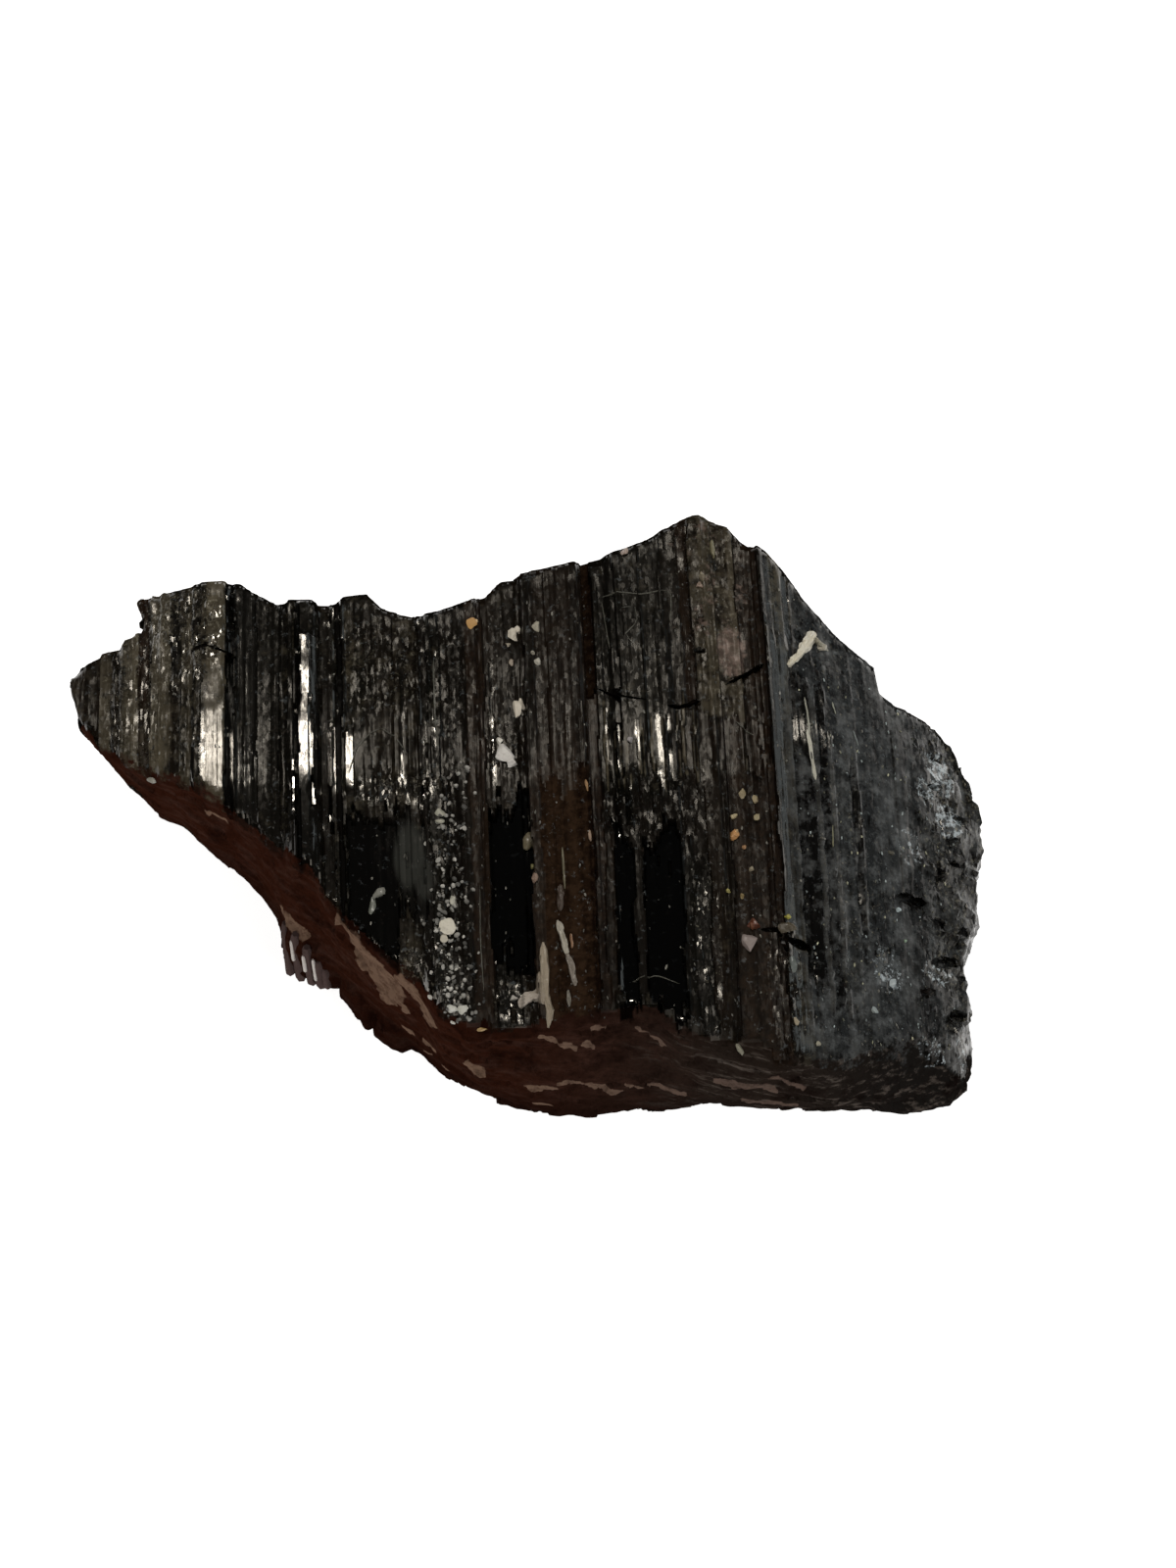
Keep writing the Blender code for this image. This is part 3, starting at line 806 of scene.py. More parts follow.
def sculptSkin(skin):
    surface, _ = heightFinder(skin)
    points, normals = readPoints(skin)
    crest = crestLine(points)
    fromNear, fromFar = rimDistances(points, normals, crest)
    relative = points[:, 2] / numpy.interp(points[:, 0], *crest)  # 0 at the foot, 1 on the crest
    high = soften(relative, "high")
    facing = soften(normals[:, 2], "facing")
    facingNear = soften(-normals[:, 1], "facingNear")
    under = soften(-normals[:, 2], "under")
    upper = soften(relative, "upper") * facing
    right = soften(points[:, 0] + 1.3 * softNoise(points, 2.6, 3), "right") * (1 - under)
    top = upper * (1 - right)
    nearWall = soften(0.12 * softNoise(points, 1.2, 63) - normals[:, 1], "nearWall")
    nearWall *= (1 - facing * 0.4) * (1 - soften(fromNear, "nearCrust"))
    sides = soften(numpy.abs(normals[:, 0]), "side")
    wall = numpy.maximum(soften(numpy.abs(normals[:, 1]), "wall"), sides) * (1 - upper)
    behind = numpy.maximum(soften(normals[:, 1], "facingFar"), soften(-normals[:, 0], "facingLeft"))
    behind *= (1 - upper) * (1 - right)

    height, grain, pale, brown = paintTop(points, crest, surface)
    spots = {name: placeMask(points, rows) for name, rows in placeValues.items() if name != "lobes"}
    crumble, lump, feather = (spots[name] * top for name in ("crumble", "lump", "feather"))
    shift = numpy.zeros(points.shape)
    fade = soften(fromNear, "nearRim") * (0.3 + 0.7 * soften(fromFar, "farRim"))
    shift[:, 2] += top * height * fade * (1 - 0.6 * lump)
    chosen = numpy.nonzero(crumble + lump > 0.02)[0]
    chips, lumps = crumbleRelief(points[chosen] * (1, 1, 0))
    shift[chosen, 2] += (crumble[chosen] * chips + lump[chosen] * lumps) * fade[chosen]
    chosen = numpy.nonzero(right > 0.02)[0]
    blocks = breakRelief(points[chosen]) * (1 - 0.5 * facingNear[chosen]) - 0.16
    shift[chosen] += normals[chosen] * (blocks * right[chosen])[:, None]
    chosen = numpy.nonzero(wall > 0.02)[0]
    relief = wallRelief(points[chosen], normals[chosen, 1] > 0.2)
    shift[chosen] += normals[chosen] * (relief * wall[chosen] * (1 - right[chosen]))[:, None]
    wear = numpy.zeros(len(points))
    wear[chosen] = numpy.clip(0.46 + 0.8 * relief, 0.26, 0.62)
    grit = reliefValues["grit"] * softNoise(points, 0.45, 61) * (1 - 0.8 * top)
    shift += normals * grit[:, None]
    shift[:, 2] = numpy.where(under > 0.1, numpy.maximum(shift[:, 2], 0), shift[:, 2])
    shift[:, 1] += spots["lift"] * high
    flakes = flakeMask(points) * (1 - right)
    shift += normals * (reliefValues["flake"] * ramp(flakes, 0.4, 0.6))[:, None]

    # pale dust on the right break; faces turned to the near side keep little of it: painted shade
    dusty = 0.50 * right * (1 - 0.8 * facingNear)
    dusty += wear * behind * (1 - soften(relative, "crestEnds"))
    # faces turned to the right, and the right break, get the blue-grey tone, which is partly
    # painted sheen
    bluish = numpy.maximum(soften(normals[:, 0], "facingRight"), right) * (1 - under)
    lip = 1 - soften(fromNear + 0.6 * softNoise(points, 0.9, 62), "lip")
    lip = lip * top * (points[:, 0] < 17)
    crust = numpy.maximum(numpy.maximum(nearWall, spots["rimCrust"]), lip) * (1 - right)
    downward = soften(-normals[:, 2], "downward") * (1 - soften(normals[:, 1], "downward"))
    masks = {
        "gloss": (1 - ramp(grain, 0.05, 0.35)) * (1 - ramp(pale, 0.03, 0.12)) * top,
        "polish": (1 - ramp(grain, 0.25, 0.75)) * top,
        "crumble": numpy.maximum(numpy.maximum(crumble, lump), right),
        "pale": numpy.maximum(pale * top, dusty),
        "brown": brown * top,
        "flesh": spots["flesh"] * top,
        "feather": feather,
        "steel": spots["steel"] * bluish,
        "sheen": spots["sheen"] * (1 - under),
        "broken": right,
        "crust": numpy.maximum(numpy.maximum(crust, spots["corner"]), downward),
        "flake": flakes,
        "rim": numpy.maximum((1 - soften(fromFar, "farEdge")) * high, behind),
    }
    for name, values in masks.items():
        writeMask(skin, name, values)
    writePoints(skin, points + shift)


sculptSkin(skin)
print("skin sculpted")
surfaceAt, wallAt = heightFinder(skin)
skin.data.transform(fromWork)
pick(skin)
bpy.ops.object.shade_smooth_by_angle(angle=math.radians(skinValues["smoothAngle"]))


# Shader patterns and the stone's finishes.

def makeGroup(name, inputs, outputs):
    group = bpy.data.node_groups.new(name, "ShaderNodeTree")
    for label, kind, value in inputs:
        socket = group.interface.new_socket(label, in_out="INPUT", socket_type=kind)
        if value is not None:
            socket.default_value = value
    for label, kind in outputs:
        group.interface.new_socket(label, in_out="OUTPUT", socket_type=kind)
    return group, group.nodes.new("NodeGroupInput"), group.nodes.new("NodeGroupOutput")


def feed(tree, socket, source):
    if isinstance(source, bpy.types.NodeSocket):
        tree.links.new(source, socket)
    else:
        socket.default_value = source


def addNode(tree, kind, links=None, **settings):
    node = tree.nodes.new(kind)
    for key, value in settings.items():
        setattr(node, key, value)
    for name, source in (links or {}).items():
        feed(tree, node.inputs[name], source)
    return node


def addMath(tree, operation, first, second=0.0, third=0.0, clamp=False):
    links = {0: first, 1: second, 2: third}
    return addNode(tree, "ShaderNodeMath", links, operation=operation, use_clamp=clamp).outputs[0]


def addMix(tree, factor, first, second, blend="MIX"):
    node = addNode(tree, "ShaderNodeMix", data_type="RGBA", blend_type=blend)
    for index, source in ((0, factor), (6, first), (7, second)):
        feed(tree, node.inputs[index], source)
    return node.outputs[2]


def addRange(tree, value, low, high):  # 0 at low, 1 at high
    links = {"Value": value, "From Min": low, "From Max": high}
    return addNode(tree, "ShaderNodeMapRange", links).outputs[0]


def addVector(tree, operation, first, second):
    links = {0: first, "Scale" if operation == "SCALE" else 1: second}
    return addNode(tree, "ShaderNodeVectorMath", links, operation=operation).outputs[0]


def addStretch(tree, coordinates, across, along):
    size = addNode(tree, "ShaderNodeCombineXYZ", {"X": across, "Y": along, "Z": along})
    return addVector(tree, "MULTIPLY", coordinates, size.outputs[0])


def useGroup(tree, group, links):
    node = addNode(tree, "ShaderNodeGroup", node_tree=group)
    for name, source in links.items():
        feed(tree, node.inputs[name], source)
    return node


def readMask(tree, name):
    return addNode(tree, "ShaderNodeAttribute", attribute_name=name).outputs["Fac"]


number, vector, shade = "NodeSocketFloat", "NodeSocketVector", "NodeSocketColor"


def makeStriae():
    group, source, result = makeGroup(
        "striae",
        [("Coordinates", vector, None), ("Across", number, 2500.0), ("Along", number, 90.0)],
        [("Height", number), ("Bands", number)],
    )
    place = addStretch(group, source.outputs[0], source.outputs[1], source.outputs[2])
    fine = {"Vector": place, "Scale": 1.0, "Detail": 4.0, "Roughness": 0.6}
    fine = addNode(group, "ShaderNodeTexNoise", fine).outputs["Fac"]
    wide = {"Vector": place, "Scale": 0.28, "Detail": 2.0}
    wide = addNode(group, "ShaderNodeTexNoise", wide).outputs["Fac"]
    feed(group, result.inputs["Height"], addMath(group, "MULTIPLY_ADD", wide, 0.8, fine))
    feed(group, result.inputs["Bands"], wide)
    return group


def makeGlints():  # small faces that lean a little, each its own way
    inputs = [
        ("Coordinates", vector, None), ("Across", number, 3000.0),
        ("Along", number, 700.0), ("Tilt", number, 0.3),
    ]
    group, source, result = makeGroup("glints", inputs, [("Normal", vector)])
    place = addStretch(group, source.outputs[0], source.outputs[1], source.outputs[2])
    cells = addNode(group, "ShaderNodeTexVoronoi", {"Vector": place, "Scale": 1.0})
    lean = addVector(group, "SUBTRACT", cells.outputs["Color"], (0.5, 0.5, 0.5))
    lean = addVector(group, "SCALE", lean, source.outputs["Tilt"])
    face = addNode(group, "ShaderNodeNewGeometry").outputs["Normal"]
    total = addVector(group, "ADD", face, lean)
    unit = addNode(group, "ShaderNodeVectorMath", {0: total}, operation="NORMALIZE").outputs[0]
    feed(group, result.inputs["Normal"], unit)
    return group


def makeDust():
    group, source, result = makeGroup(
        "dust",
        [("Coordinates", vector, None), ("Scale", number, 400.0), ("Amount", number, 0.5)],
        [("Mask", number)],
    )
    cloud = {"Vector": source.outputs[0], "Scale": source.outputs[1]}
    cloud.update({"Detail": 6.0, "Roughness": 0.7})
    cloud = addNode(group, "ShaderNodeTexNoise", cloud).outputs["Fac"]
    low = addMath(group, "SUBTRACT", 0.72, addMath(group, "MULTIPLY", source.outputs[2], 0.5))
    high = addMath(group, "ADD", low, 0.18)
    feed(group, result.inputs["Mask"], addRange(group, cloud, low, high))
    return group


striae, glints, dust = makeStriae(), makeGlints(), makeDust()

stoneValues = {
    "black": (0.0026, 0.0023, 0.0018, 1),
    "mirror": (0.0003, 0.0003, 0.0003, 1),
    "olive": (0.105, 0.089, 0.060, 1),
    "speck": (0.28, 0.26, 0.20, 1),
    "umber": (0.036, 0.0205, 0.0118, 1),
    "umberDark": (0.0085, 0.0045, 0.0028, 1),
    # blue-grey of the facet and right break: partly their own tone, partly painted sheen
    "steel": (0.122, 0.128, 0.129, 1),
    "steelDark": (0.004, 0.004, 0.004, 1),
    # painted highlight of the glossy patches on the right break
    "sheen": (0.48, 0.54, 0.57, 1),
    "blackCrust": (0.012, 0.0104, 0.0093, 1),
    "flesh": (0.21, 0.155, 0.130, 1),
    "feather": (0.050, 0.052, 0.046, 1),
    "crust": (0.0280, 0.0086, 0.0047, 1),
    "crustDark": (0.0050, 0.0020, 0.0015, 1),
    "crustLight": (0.047, 0.022, 0.016, 1),
    "crustLayer": (0.110, 0.091, 0.078, 1),
    "crustGrey": (0.020, 0.0142, 0.0112, 1),
    "tan": (0.165, 0.104, 0.072, 1),
    "tanGrey": (0.105, 0.072, 0.058, 1),
    "bump": {"Strength": 0.6, "Distance": 0.00005},
    "refraction": 1.63,
    "mirrorTint": (1.0, 0.95, 0.86, 1),
    "dull": 0.28,  # roughness, and what each finish adds to it
    "polish": -0.13,
    "mirrorRoughness": -0.08,
    "dustyRoughness": 0.12,
    "striae": (3400.0, 70.0),  # pattern scales, across and along the flutes
    "glints": (4600.0, 2400.0),
    "mottle": 900.0,
    "patches": 260.0,
    "flecks": 2600.0,
    "crustEdge": 700.0,
    "turnsGrey": (-0.002, 0.014),  # where the crust changes, in metres along X
    "turnsBlack": (0.018, 0.027),
    "lightEnds": (0.014, 0.004),
    "layersStart": (0.006, 0.018),
    # painted shade at the foot of the near break: where it fades along X, and up
    "footEnds": (0.028, 0.016),
    "footDark": (0.011, 0.003),  # and in metres up
}


def makeStoneGroup():  # everything that changes over the stone's surface
    values = stoneValues
    group, source, result = makeGroup(
        "stone", [("Coordinates", vector, None)],
        [("Color", shade), ("Roughness", number), ("Height", number), ("Normal", vector)],
    )
    where = source.outputs[0]
    turn = {"Vector": where, "Rotation": (0, 0, -math.atan(skinValues["slant"]))}
    turned = addNode(group, "ShaderNodeMapping", turn).outputs[0]
    first = ("gloss", "polish", "crumble", "pale", "brown", "steel")
    gloss, polish, crumble, pale, brown, steel = (readMask(group, name) for name in first)
    others = ("flesh", "feather", "crust", "flake", "sheen", "broken")
    flesh, feather, crust, flake, sheen, broken = (readMask(group, name) for name in others)

    def times(first, second):
        return addMath(group, "MULTIPLY", first, second)

    def timesPlus(first, second, third):
        return addMath(group, "MULTIPLY_ADD", first, second, third)

    def clouds(coordinates, scale, amount):
        links = {"Coordinates": coordinates, "Scale": scale, "Amount": amount}
        return useGroup(group, dust, links).outputs[0]

    across, along = values["striae"]
    lines = useGroup(group, striae, {"Coordinates": turned, "Across": across, "Along": along})
    bands = lines.outputs["Bands"]
    tilt = timesPlus(crumble, 0.16, timesPlus(polish, -0.10, 0.14))
    across, along = values["glints"]
    sparks = {"Coordinates": turned, "Across": across, "Along": along, "Tilt": tilt}
    sparks = useGroup(group, glints, sparks)
    mottle = clouds(turned, values["mottle"], pale)
    flecks = timesPlus(crumble, 0.18, timesPlus(pale, 0.16, 0.10))
    flecks = clouds(turned, values["flecks"], flecks)
    edge = clouds(where, values["crustEdge"], 0.5)

    # black stone, dusty where it is pale, and brown in some flutes
    dusty = timesPlus(mottle, timesPlus(pale, 0.55, 0.15), times(pale, 0.08))
    patches = timesPlus(clouds(where, values["patches"], 0.5), 0.6, 0.72)
    banded = timesPlus(bands, 0.8, 0.6)
    dusty = addMath(group, "MULTIPLY", times(dusty, patches), banded, clamp=True)
    colour = addMix(group, dusty, values["black"], values["olive"])
    worn = timesPlus(addRange(group, bands, 0.35, 0.65), 0.7, -0.22)
    worn = timesPlus(clouds(turned, 1700.0, 0.55), 0.8, worn)
    umber = addMix(group, worn, values["umberDark"], values["umber"])
    colour = addMix(group, times(brown, 0.95), colour, umber)

    # blue-grey facet and right break, their tone partly their own and partly painted sheen, a
    # pinkish patch and pale specks
    streaky = {"Vector": addStretch(group, turned, 1300.0, 55.0), "Scale": 1.0, "Detail": 3.0}
    streaky = addNode(group, "ShaderNodeTexNoise", streaky).outputs["Fac"]
    streaky = addRange(group, streaky, 0.38, 0.62)
    slate = timesPlus(addMath(group, "SUBTRACT", pale, 0.5), 0.55, timesPlus(streaky, 0.35, -0.16))
    slate = timesPlus(clouds(turned, 420.0, 0.5), 0.45, slate)
    slate = timesPlus(clouds(where, 1100.0, 0.5), 0.60, slate)
    slate = addMix(group, slate, values["steelDark"], values["steel"])
    colour = addMix(group, times(steel, 0.85), colour, slate)
    fleshy = addRange(group, timesPlus(clouds(where, 1300.0, 0.5), 0.7, flesh), 0.65, 1.4)
    colour = addMix(group, fleshy, colour, values["flesh"])
    bare = addMath(group, "SUBTRACT", 0.8, gloss, clamp=True)
    colour = addMix(group, times(flecks, bare), colour, values["speck"])

    # painted shadow of the ledges, and painted highlight on the glossy patches of the right break
    ledgeTurn = {"Vector": where, "Rotation": (0, 0, math.radians(18))}
    ledgeTurn = addNode(group, "ShaderNodeMapping", ledgeTurn).outputs[0]
    # dark streaks across the break: painted shadow of its ledges
    ledges = clouds(addStretch(group, ledgeTurn, 0.35, 1.0), 520.0, 0.42)
    colour = addMix(group, times(times(ledges, broken), 0.85), colour, values["black"])
    # bluish white on the glossy patches: painted highlight
    bright = addRange(group, timesPlus(sheen, 0.85, clouds(where, 1900.0, 0.55)), 0.95, 1.45)
    colour = addMix(group, bright, colour, values["sheen"])

    # crust of the near break: red-brown at the left, then grey, then black, with painted shade at
    # its foot
    ragged = addMath(group, "ADD", crust, timesPlus(edge, 0.35, -0.17))
    crusted = addRange(group, ragged, 0.35, 0.55)
    place = addNode(group, "ShaderNodeSeparateXYZ", {0: where}).outputs
    turning = addRange(group, place["X"], *values["turnsGrey"])
    turningBlack = addRange(group, place["X"], *values["turnsBlack"])
    crustTone = addMix(group, turning, values["crust"], values["crustGrey"])
    crustTone = addMix(group, turningBlack, crustTone, values["blackCrust"])
    # painted shade, darker towards the foot of the near break
    footShade = addRange(group, place["Z"], *values["footDark"])
    footShade = times(footShade, addRange(group, place["X"], *values["footEnds"]))
    lighter = clouds(addStretch(group, ledgeTurn, 0.4, 1.3), 760.0, 0.5)
    lighter = times(times(lighter, 0.8), addRange(group, place["X"], *values["lightEnds"]))
    crustTone = addMix(group, lighter, crustTone, values["crustLight"])
    layered = clouds(addStretch(group, ledgeTurn, 0.25, 1.5), 900.0, 0.45)
    layered = times(addRange(group, layered, 0.2, 0.8), 0.75)
    layered = times(layered, addRange(group, place["X"], *values["layersStart"]))
    crustTone = addMix(group, layered, crustTone, values["crustLayer"])
    darker = times(clouds(where, 330.0, 0.42), 0.75)
    darker = addMath(group, "MAXIMUM", darker, times(footShade, 0.7))
    crustTone = addMix(group, darker, crustTone, values["crustDark"])
    darker = times(clouds(where, 2400.0, 0.5), 0.35)
    crustTone = addMix(group, darker, crustTone, values["crustDark"])
    colour = addMix(group, crusted, colour, crustTone)

    # its tan flakes, the mirror-like flutes and the feathery mark
    chips = timesPlus(edge, 0.3, addMath(group, "SUBTRACT", flake, 0.15))
    tan = addMix(group, turning, values["tan"], values["tanGrey"])
    tan = addMix(group, times(clouds(where, 1500.0, 0.5), 0.6), tan, crustTone)
    colour = addMix(group, times(addRange(group, chips, 0.40, 0.60), 0.9), colour, tan)
    colour = addMix(group, times(gloss, 0.9), colour, values["mirror"])
    colour = addMix(group, times(feather, timesPlus(bands, 0.8, 0.3)), colour, values["feather"])
    feed(group, result.inputs["Color"], colour)

    rough = timesPlus(polish, values["polish"], values["dull"])
    rough = timesPlus(dusty, values["dustyRoughness"], timesPlus(crumble, -0.10, rough))
    rough = timesPlus(brown, 0.12, rough)
    rough = timesPlus(gloss, values["mirrorRoughness"], rough)
    rough = addMath(group, "MULTIPLY_ADD", crusted, 0.30, rough, clamp=True)
    feed(group, result.inputs["Roughness"], rough)
    height = times(lines.outputs["Height"], timesPlus(gloss, -0.85, 1.0))
    feed(group, result.inputs["Height"], height)
    feed(group, result.inputs["Normal"], sparks.outputs["Normal"])
    return group


stone = makeStoneGroup()


def makeStone(name, specular):
    material = bpy.data.materials.new(name)
    material.use_nodes = True
    tree = material.node_tree
    shader = tree.nodes["Principled BSDF"]
    where = addNode(tree, "ShaderNodeTexCoord").outputs["Object"]
    surface = useGroup(tree, stone, {"Coordinates": where}).outputs
    bump = {name: surface[name] for name in ("Height", "Normal")}
    bump.update(stoneValues["bump"])
    feed(tree, shader.inputs["Base Color"], surface["Color"])
    feed(tree, shader.inputs["Roughness"], surface["Roughness"])
    feed(tree, shader.inputs["Normal"], addNode(tree, "ShaderNodeBump", bump).outputs[0])
    shader.inputs["IOR"].default_value = stoneValues["refraction"]
    shader.inputs["Specular Tint"].default_value = stoneValues["mirrorTint"]
    shader.inputs["Specular IOR Level"].default_value = specular
    return material


def readLayer(piece, name):
    values = numpy.empty(len(piece.data.vertices), dtype=numpy.float32)
    piece.data.attributes[name].data.foreach_get("value", values)
    return values


# Each finish and how much it mirrors: polished flutes and glittering chips, the rest of the
# black stone, and the crust and far side, which have no shine.
finishValues = {"black_tourmaline": 0.5, "dull_tourmaline": 0.12, "brown_crust": 0.0}


def giveFinishes(skin):
    for name, specular in finishValues.items():
        skin.data.materials.append(makeStone(name, specular))
    names = ("crust", "brown", "polish", "crumble", "steel", "broken", "sheen", "rim")
    layers = (readLayer(skin, name) for name in names)
    crust, brown, polish, crumble, steel, broken, sheen, rim = layers
    shiny = numpy.maximum(polish, crumble - broken)
    shiny = numpy.where(steel > 0.5, sheen + 0.25, shiny)
    finish = numpy.where(shiny > 0.55, 0, 1)
    finish = numpy.where((numpy.maximum(crust, rim) > 0.45) | (brown > 0.8), 2, finish)
    for face in skin.data.polygons:
        face.material_index = int(finish[face.vertices[0]])
        if face.normal.y < -0.35 and face.material_index == 0:
            face.material_index = 1


giveFinishes(skin)

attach(skin, "root")
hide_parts("tourmaline_crystal")
print("skin done", countTriangles(skin))


# Grains, splinters and columns that sit in the stone, each with a tint of its own.
mineralValues = {
    "stain": (0.55, 0.47, 0.36, 1),
    "stainScale": 1500.0,
    "dirt": (0.30, 0.25, 0.2, 1),
    "dirtScale": 4000.0,
    "bump": {"Strength": 0.5, "Distance": 0.00006},
}


def makeMineral(name, specular, roughness):
    material = bpy.data.materials.new(name)
    material.use_nodes = True
    tree = material.node_tree
    shader = tree.nodes["Principled BSDF"]
    where = addNode(tree, "ShaderNodeTexCoord").outputs["Object"]
    tint = addNode(tree, "ShaderNodeAttribute", attribute_name="tint").outputs["Color"]
    cloudy = {"Coordinates": where, "Scale": mineralValues["stainScale"], "Amount": 0.5}
    cloudy = useGroup(tree, dust, cloudy).outputs[0]
    worn = {"Coordinates": where, "Scale": mineralValues["dirtScale"], "Amount": 0.35}
    worn = useGroup(tree, dust, worn).outputs[0]
    patchy = addMath(tree, "MULTIPLY", cloudy, 0.15)
    colour = addMix(tree, patchy, tint, mineralValues["stain"], "MULTIPLY")
    patchy = addMath(tree, "MULTIPLY", worn, 0.35)
    colour = addMix(tree, patchy, colour, mineralValues["dirt"], "MULTIPLY")
    feed(tree, shader.inputs["Base Color"], colour)
    feed(tree, shader.inputs["Roughness"], addMath(tree, "MULTIPLY_ADD", cloudy, 0.2, roughness))
    bump = addNode(tree, "ShaderNodeBump", {**mineralValues["bump"], "Height": cloudy})
    feed(tree, shader.inputs["Normal"], bump.outputs[0])
    shader.inputs["Specular IOR Level"].default_value = specular
    return material


mineral = makeMineral("pale_mineral", 0.5, 0.32)
# the columns have no shine; their glints are painted on the thin pale ones
columnStone = makeMineral("column_tourmaline", 0.0, 0.35)


def tintPiece(piece, tint):
    layer = piece.data.attributes.new("tint", "FLOAT_COLOR", "POINT")
    layer.data.foreach_set("color", numpy.tile((*tint, 1), len(piece.data.vertices)))


def cleave(points, rng, cuts, near, far):  # flat faces on a ball
    for _ in range(cuts):
        way = rng.normal(size=3)
        way /= numpy.linalg.norm(way)
        over = numpy.clip(points @ way - rng.uniform(near, far), 0, None)
        points = points - over[:, None] * way
    return points


grainStarts = {}  # one ball for each fineness, which the grains are copied from


def addGrain(flute, y, across, along, tall, turn, tint, seed, divisions=3):
    if divisions not in grainStarts:
        deselectAll()
        bpy.ops.mesh.primitive_ico_sphere_add(subdivisions=divisions, radius=1)
        grainStarts[divisions] = bpy.context.active_object
    grain = copyPiece(grainStarts[divisions])
    fine = divisions > 2
    points, _ = readPoints(grain)
    points = cleave(points, numpy.random.default_rng(seed), 9 if fine else 3, 0.40, 0.75)
    if fine:
        points *= 1 + 0.20 * softNoise(points + seed, 0.9, seed)[:, None]
    bigger = 1.25 if fine else 1.0
    points = points * (across / 2 * bigger, along / 2 * bigger, tall)
    grainX, grainY = turnFlat(points, turn)
    level = surfaceAt(flute, y)[0] + tall * grainValues["stands"]
    writePoints(grain, numpy.stack([grainX + flute, grainY + y, points[:, 2] + level], axis=1))
    tintPiece(grain, tint)
    return grain


def finishPieces(pieces, name, material):
    piece = joinAll(pieces, name)
    piece.data.transform(fromWork)
    piece.data.materials.clear()
    piece.data.materials.append(material)
    pick(piece)
    bpy.ops.object.shade_smooth_by_angle(angle=math.radians(25))
    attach(piece, "root")
    print(name, countTriangles(piece))
    return piece


